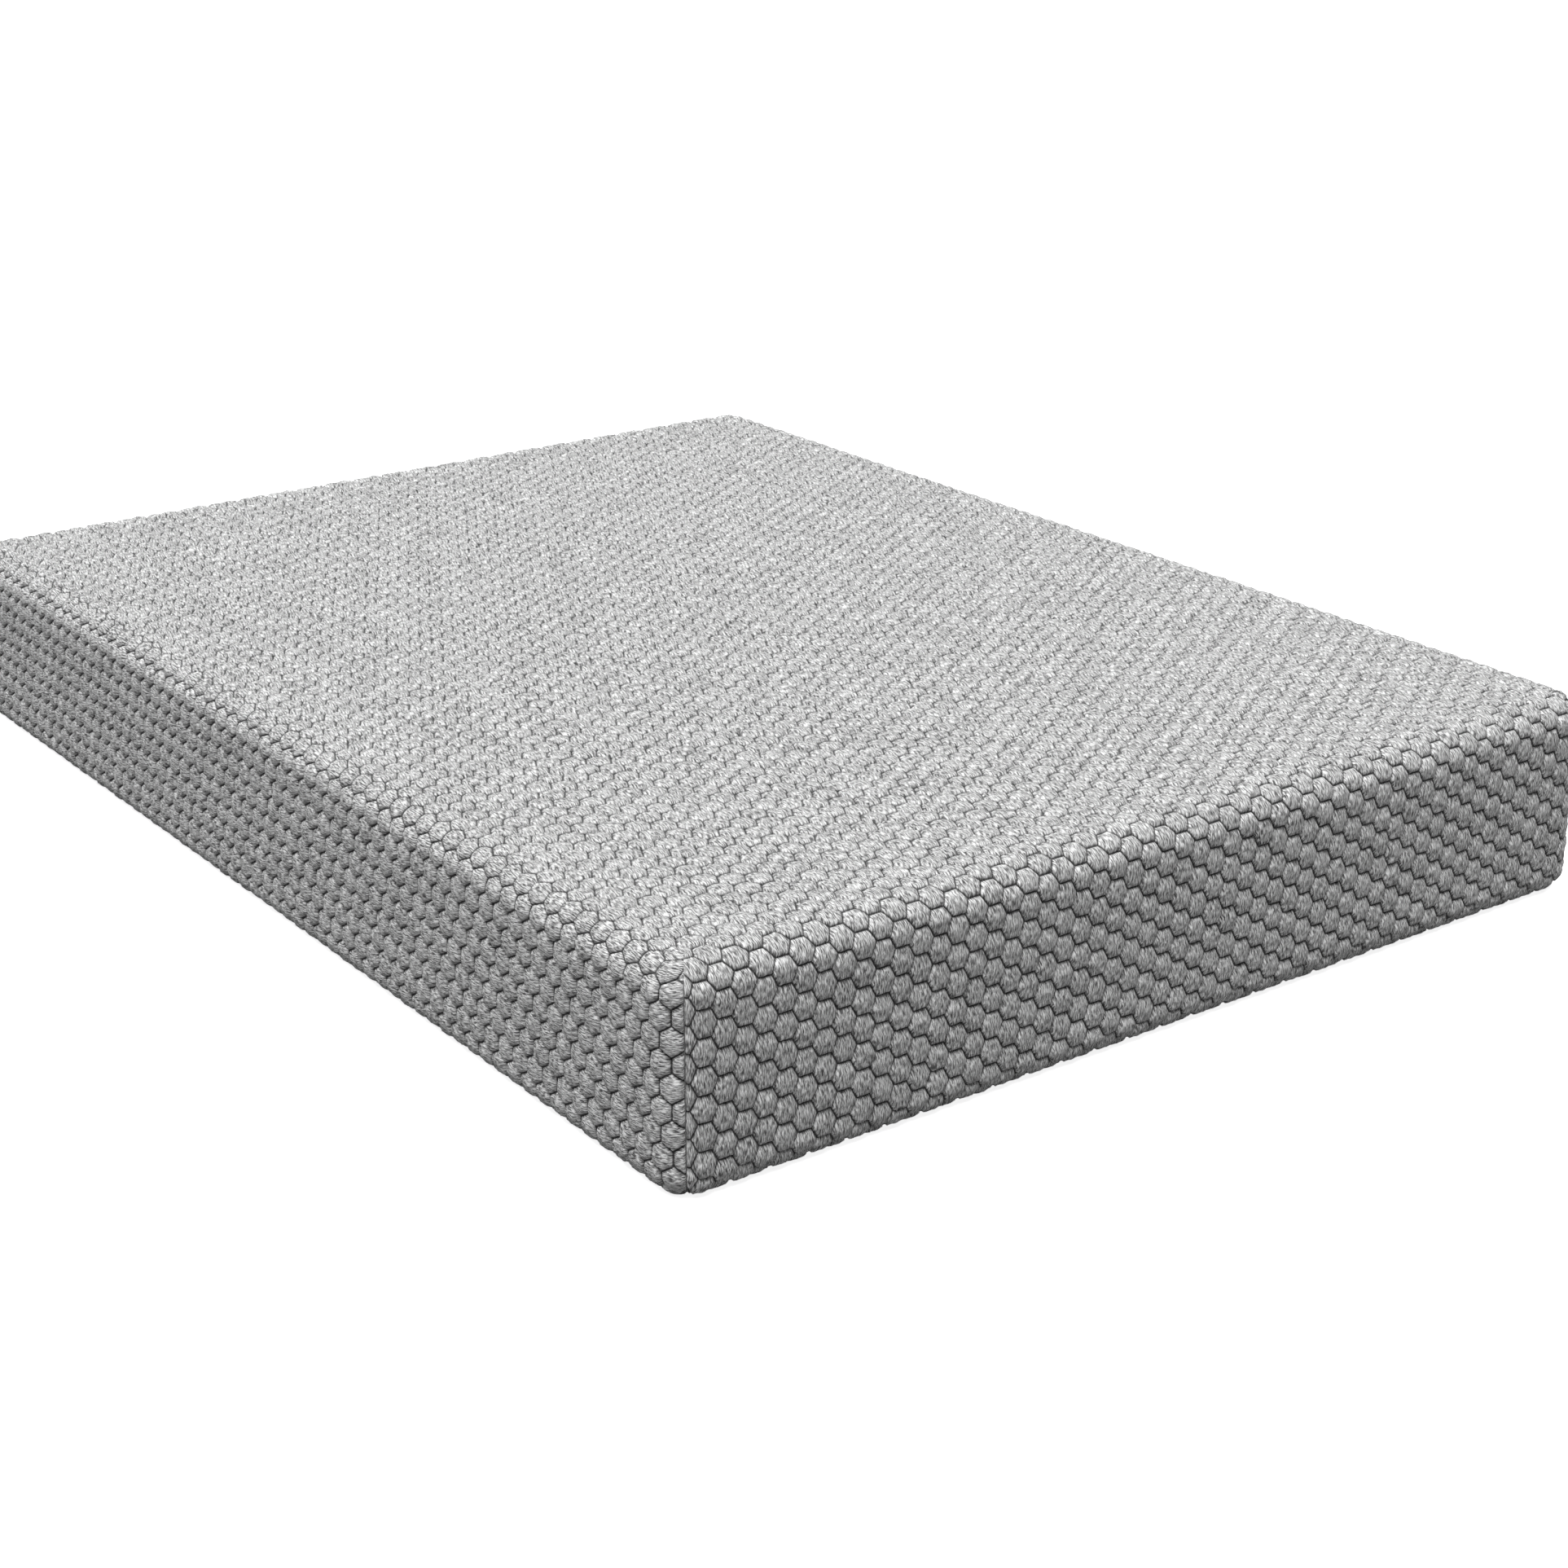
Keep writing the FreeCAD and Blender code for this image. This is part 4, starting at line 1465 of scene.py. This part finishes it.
@dataclass(frozen=True)
class FoamStack:
    """Three bonded foam layers with a film of glue between them, in their knitted barrier sock."""

    form: CoverForm
    cut_edge: float = 1.2 * MM
    sock_wall: float = 1.4 * MM
    zigzag: float = 4 * MM
    zigzag_margin: float = 1 * MM
    overlock: RowSizes = RowSizes(8 * MM, 5 * MM, 0.1 * MM, 0.3 * MM, 0.35 * MM, 0.0, 0.1, 9)

    def rounded(self, node: str, top: bool, base: bool) -> Block:
        """The block that fills a node's box, rounded like the cover where the cover bends over it.

        Args:
            node: The CAD node.
            top: Whether the cover bends over its top edge.
            base: Whether the cover bends round its base edge.

        Returns:
            The block.
        """
        low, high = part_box(node)
        inset = self.form.width / 2 - high.x
        return Block(tuple(low), tuple(high), self.form.corner_radius - inset,
                     self.form.top_radius - inset if top else self.cut_edge,
                     self.form.base_radius - inset if base else self.cut_edge)

    def build(self, stitches: RowTree) -> None:
        """Makes the layers, their glue and the sock with its seam.

        Args:
            stitches: The tree that sews.
        """
        for node, cloth in (("memory_foam_layer", Cloths.MEMORY),
                            ("transition_foam_layer", Cloths.TRANSITION),
                            ("support_foam_core", Cloths.SUPPORT)):
            mesh = self.rounded(node, cloth is Cloths.MEMORY, cloth is Cloths.SUPPORT).mesh(node)
            slot = node.replace("_layer", "").replace("_core", "")
            fit(show(f"{node}_cut", mesh, cloth), slot, node)
        for node in ("glue_film_upper", "glue_film_lower"):
            dress(node, Cloths.GLUE)
        low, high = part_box("barrier_sock")
        mesh = self.rounded("barrier_sock", True, True).mesh("barrier_sock", self.sock_wall)
        sock = fit(show("barrier_sock_knit", mesh, Cloths.SOCK), "barrier_sock", "barrier_sock")
        low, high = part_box("barrier_sock_seam")
        count = int((high.x - low.x) / self.zigzag)
        x = np.linspace(low.x, high.x, count)
        y = np.where(np.arange(count) % 2, low.y + self.zigzag_margin, high.y - self.zigzag_margin)
        path = np.column_stack([x, y, np.full(count, (low.z + high.z) / 2)])
        seam = path_mesh("overlock", path, DOWN)
        fit(settled("barrier_sock_overlock", seam, stitches, self.overlock.inputs()),
            "seam_thread", "barrier_sock_seam")


def dress(node: str, cloth: Cloths) -> None:
    """Gives a CAD node its finish.

    Args:
        node: The CAD node.
        cloth: Its finish.
    """
    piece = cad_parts[node]
    if not piece.material_slots:
        piece.data.materials.append(None)
    for held in piece.material_slots:
        held.material = MATERIALS[cloth]
    LOG.info("%s: CAD shape, %s", node, MATERIALS[cloth].name)


@dataclass(frozen=True)
class ZipRun:
    """The zip that joins the hem and the base panel: its middle line, tapes, coils and stitches."""

    half_width: float
    half_length: float
    corner: float
    break_place: float
    corner_steps: int = 12
    tape_gap: float = 8 * MM
    tape_reach: float = 16.5 * MM
    stitch_line: float = 12 * MM
    stitch: RowSizes = RowSizes(4 * MM, 3.3 * MM, 0.2 * MM, 0.3 * MM, 0.0, 0.1 * MM, 0.08, 3)
    coil_gap: float = 16 * MM
    coil_offset: float = 1.42 * MM
    turn: RowSizes = RowSizes(2.6 * MM, 1.1 * MM, 0.5 * MM, 0.38 * MM, finish=MATERIALS[Cloths.COIL])
    patch_corner: float = 2.0 * MM
    patch_edge: float = 0.2 * MM
    patch_stitch: RowSizes = RowSizes(3.2 * MM, 2.6 * MM, 0.12 * MM, 0.25 * MM, 0.0, 0.05 * MM, 0.05, 5)

    def line(self, offset: float, gap: float) -> Array:
        """The path beside the middle line, from one end of the zip round to the other.

        Args:
            offset: Distance outwards from the middle line, negative inwards.
            gap: Length left free where the ends of the zip meet.

        Returns:
            Points with the outward direction at each, as (x, y, outward x, outward y) rows.
        """
        width, length, radius = self.half_width, self.half_length, self.corner
        rows = [(width, self.break_place + gap / 2, 1.0, 0.0)]
        for quarter, (sx, sy) in enumerate(((1, 1), (-1, 1), (-1, -1), (1, -1))):
            for turn in (quarter + np.linspace(0, 1, self.corner_steps + 1)) * math.pi / 2:
                out = (math.cos(turn), math.sin(turn))
                rows.append((sx * (width - radius) + radius * out[0],
                             sy * (length - radius) + radius * out[1], *out))
        rows.append((width, self.break_place - gap / 2, 1.0, 0.0))
        line = np.array(rows)
        line[:, :2] += line[:, 2:] * offset
        return line

    def strip(self, name: str, inner: float, outer: float, low: float, high: float) -> Mesh:
        """A flat tape along the path, with a fabric map in metres.

        Args:
            name: Name of the mesh.
            inner: Its nearer edge, as a distance outwards from the middle line.
            outer: Its farther edge.
            low: Its underside.
            high: Its upper side.

        Returns:
            The closed mesh.
        """
        near, far = self.line(inner, self.tape_gap), self.line(outer, self.tape_gap)
        run = np.concatenate([[0.0], np.cumsum(np.hypot(*np.diff(self.line(0, self.tape_gap)[:, :2],
                                                                axis=0).T))])
        section = ((near, low), (far, low), (far, high), (near, high))
        points = np.concatenate([np.column_stack([side[:, :2], np.full(len(side), level)])
                                 for side, level in section])
        count = len(run)
        faces = []
        for side in range(4):
            other = (side + 1) % 4
            for step in range(count - 1):
                faces.append((side * count + step, side * count + step + 1,
                              other * count + step + 1, other * count + step))
        faces.append((0, count, 2 * count, 3 * count))
        faces.append(tuple(side * count + count - 1 for side in (3, 2, 1, 0)))
        mesh = bpy.data.meshes.new(name)
        mesh.from_pydata(points.tolist(), [], faces)
        across = np.repeat([inner, outer, outer, inner], count)
        lay_map(mesh, "fabric", np.column_stack([np.tile(run, 4), across]))
        return mesh

    def level_path(self, name: str, offset: float, gap: float, level: float, back: float) -> Mesh:
        """A path beside the zip at one level, which starts a little back from the gap.

        Args:
            name: Name of the mesh.
            offset: Distance outwards from the zip's middle line.
            gap: Length left free where the ends of the zip meet.
            level: Height of the path.
            back: How far its start is moved along the zip.

        Returns:
            The path.
        """
        line = self.line(offset, gap)
        path = np.column_stack([line[:, :2], np.full(len(line), level)])
        path[0, 1] += back
        return path_mesh(name, path, UP)

    def build(self, stitches: RowTree, turns: RowTree) -> None:
        """Makes both tapes, both halves of the coil and the stitch lines, and dresses the hardware.

        Args:
            stitches: The tree that sews.
            turns: The tree that winds the coil.
        """
        for side, sign in (("cover", 1), ("base", -1)):
            low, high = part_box(f"zip_tape_{side}")
            edges = sorted((sign * TAPE_MARGIN, sign * self.tape_reach))
            mesh = self.strip(f"zip_tape_{side}", *edges, low.z, high.z)
            fit(show(f"zip_tape_{side}_woven", mesh, Cloths.TAPE), "zip_tape", f"zip_tape_{side}")
            low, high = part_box(f"zip_coil_{side}")
            back = self.turn.pitch / 2 if sign < 0 else 0.0
            path = self.level_path("coil", 0.0, self.coil_gap, (low.z + high.z) / 2, back)
            turn = replace(self.turn, offset=-sign * self.coil_offset)
            fit(settled(f"zip_coil_{side}_turns", path, turns, turn.inputs()),
                "zip_coil", f"zip_coil_{side}")
            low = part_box(f"zip_stitch_{side}")[0]
            path = self.level_path("stitch", sign * self.stitch_line, self.tape_gap, low.z, 0.0)
            fit(settled(f"zip_stitch_{side}_row", path, stitches, self.stitch.inputs()),
                "seam_thread", f"zip_stitch_{side}")
        self.end_patch(stitches)
        for node in ("zip_start_stop", "zip_end_stop", "zip_slider", "zip_pull_tab"):
            dress(node, Cloths.METAL)

    def end_patch(self, stitches: RowTree) -> None:
        """Makes the woven patch over the meeting ends of the zip, and the box of stitches that holds it.

        Args:
            stitches: The tree that sews.
        """
        low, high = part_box("zip_end_patch")
        patch = Block(tuple(low), tuple(high), self.patch_corner, self.patch_edge, self.patch_edge)
        fit(show("zip_end_patch_woven", patch.mesh("zip_end_patch"), Cloths.PATCH),
            "zip_tape", "zip_end_patch")
        inset = self.patch_corner
        x, y = (low.x + inset, high.x - inset), (low.y + inset, high.y - inset)
        box = np.array([(x[0], y[0]), (x[1], y[0]), (x[1], y[1]), (x[0], y[1]), (x[0], y[0])])
        path = np.column_stack([box, np.full(len(box), low.z + self.patch_edge)])
        row = settled("zip_end_patch_stitches", path_mesh("patch_stitch", path, DOWN), stitches,
                      self.patch_stitch.inputs())
        fit(row, "seam_thread")


@dataclass(frozen=True)
class BasePanel:
    """The plain panel under the mattress, with grip dots."""

    corner: float = 49 * MM
    edge: float = 1.6 * MM
    dot_spacing: float = 26 * MM
    dot_radius: float = 3 * MM
    dot_height: float = 0.48 * MM
    dot_margin: float = 60 * MM

    def build(self, dots: DotTree) -> None:
        """Makes the panel and its dots.

        Args:
            dots: The tree that sets the dots.
        """
        low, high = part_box("base_panel")
        low.z += self.dot_height
        mesh = Block(tuple(low), tuple(high), self.corner, self.edge, self.edge).mesh("base_panel")
        panel = fit(show("base_panel_woven", mesh, Cloths.BASE), "base_fabric", "base_panel")
        size = high - low
        columns, rows = (int((size[axis] - self.dot_margin) / self.dot_spacing) for axis in (0, 1))
        spots = [((column - columns / 2 + 0.5 * (row % 2)) * self.dot_spacing,
                  (row - rows / 2) * self.dot_spacing, low.z)
                 for row in range(rows + 1) for column in range(columns + 1 - row % 2)]
        field = bpy.data.meshes.new("grip_points")
        field.from_pydata(spots, [], [])
        sizes = {"Radius": self.dot_radius, "Height": self.dot_height, "Finish": MATERIALS[Cloths.GRIP]}
        fit(settled("base_grip_dots", field, dots, sizes), "base_fabric")


@dataclass(frozen=True)
class Studio:
    """The studio: camera, floor and soft light."""

    lens: float = 63.65
    sensor: float = 36.0
    pitch: float = 0.37244
    yaw: float = 0.63405
    stand: tuple[float, float, float] = (-2.2447, -3.2328, 1.5499)
    room_light: float = 0.06
    backdrop: float = 1.0
    overhead: float = 4.6
    overhead_spread: float = math.radians(55)
    overhead_tilt: tuple[float, float, float] = (math.radians(9.5), math.radians(-12), 0.0)
    floor_tone: float = 0.95
    floor_bounce: float = 0.25
    floor_glow: float = 0.85
    floor_reach: float = 40.0
    view_depth: float = 100.0

    def camera(self) -> None:
        """Sets the camera up."""
        data = bpy.data.cameras.new("camera")
        data.lens, data.sensor_width = self.lens, self.sensor
        data.clip_end = self.view_depth
        camera = bpy.data.objects.new("camera", data)
        camera.location = self.stand
        camera.rotation_euler = (math.pi / 2 - self.pitch, 0.0, -self.yaw)
        bpy.context.scene.collection.objects.link(camera)
        bpy.context.scene.camera = camera

    def floor(self) -> None:
        """Lays the pale floor."""
        mesh = bpy.data.meshes.new("floor")
        half = self.floor_reach
        mesh.from_pydata([(-half, -half, 0), (half, -half, 0), (half, half, 0), (-half, half, 0)], [],
                         [(0, 1, 2, 3)])
        floor = bpy.data.objects.new("floor", mesh)
        bpy.context.scene.collection.objects.link(floor)
        material = bpy.data.materials.new("floor")
        material.use_nodes = True
        shader = material.node_tree.nodes["Principled BSDF"]
        wiring = Wiring(material.node_tree)
        seen = wiring.add("ShaderNodeLightPath").outputs["Is Camera Ray"]
        tone = wiring.tint(seen, (self.floor_bounce,) * 3 + (1,), (self.floor_tone,) * 3 + (1,))
        material.node_tree.links.new(tone, shader.inputs["Base Color"])
        glow = wiring.math("MULTIPLY", seen, self.floor_glow)
        material.node_tree.links.new(glow, shader.inputs["Emission Strength"])
        shader.inputs["Emission Color"].default_value = (1, 1, 1, 1)
        shader.inputs["Roughness"].default_value = 1.0
        shader.inputs["Specular IOR Level"].default_value = 0.0
        mesh.materials.append(material)

    def light(self) -> None:
        """Lights the room and hangs one very wide soft light overhead."""
        scene = bpy.context.scene
        scene.view_settings.view_transform = "Standard"
        world = bpy.data.worlds.new("studio")
        scene.world = world
        world.use_nodes = True
        background = world.node_tree.nodes["Background"]
        background.inputs["Color"].default_value = (1, 1, 1, 1)
        wiring = Wiring(world.node_tree)
        seen = wiring.add("ShaderNodeLightPath").outputs["Is Camera Ray"]
        strength = wiring.remap(seen, 0.0, 1.0, self.room_light, self.backdrop)
        world.node_tree.links.new(strength, background.inputs["Strength"])
        data = bpy.data.lights.new("overhead", "SUN")
        data.energy, data.angle = self.overhead, self.overhead_spread
        lamp = bpy.data.objects.new("overhead", data)
        lamp.rotation_euler = self.overhead_tilt
        scene.collection.objects.link(lamp)


def cover_form() -> CoverForm:
    """The cover's form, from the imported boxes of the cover, the zip and the base panel.

    Returns:
        The form.
    """
    low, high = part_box("cover_knit")
    size, panel = high - low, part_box("base_panel")[1]
    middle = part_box("zip_tape_base")[1].x + TAPE_MARGIN
    trough = middle - panel.x
    return CoverForm(size.x, size.y, size.z, high.x - middle - trough, ZIP_CORNER + trough, panel.z)


def main() -> None:
    """Builds the mattress, sets up the studio and reports each piece."""
    logging.basicConfig(level=logging.INFO, format="%(message)s")
    form = cover_form()
    cover = KnitCover(form)
    fit(cover.build(PuffCloth(cover.rings)), "cover_knit", "cover_knit")
    stitches, turns = RowTree(Row.STITCH), RowTree(Row.COIL)
    CornerSeams(form).build(stitches)
    BasePanel().build(DotTree())
    low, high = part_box("zip_end_patch")
    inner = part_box("zip_tape_base")[1]
    ZipRun(inner.x + TAPE_MARGIN, inner.y + TAPE_MARGIN, ZIP_CORNER, (low.y + high.y) / 2).build(
        stitches, turns)
    FoamStack(form).build(stitches)
    studio = Studio()
    studio.camera()
    studio.floor()
    studio.light()


if __name__ == "__main__":
    main()
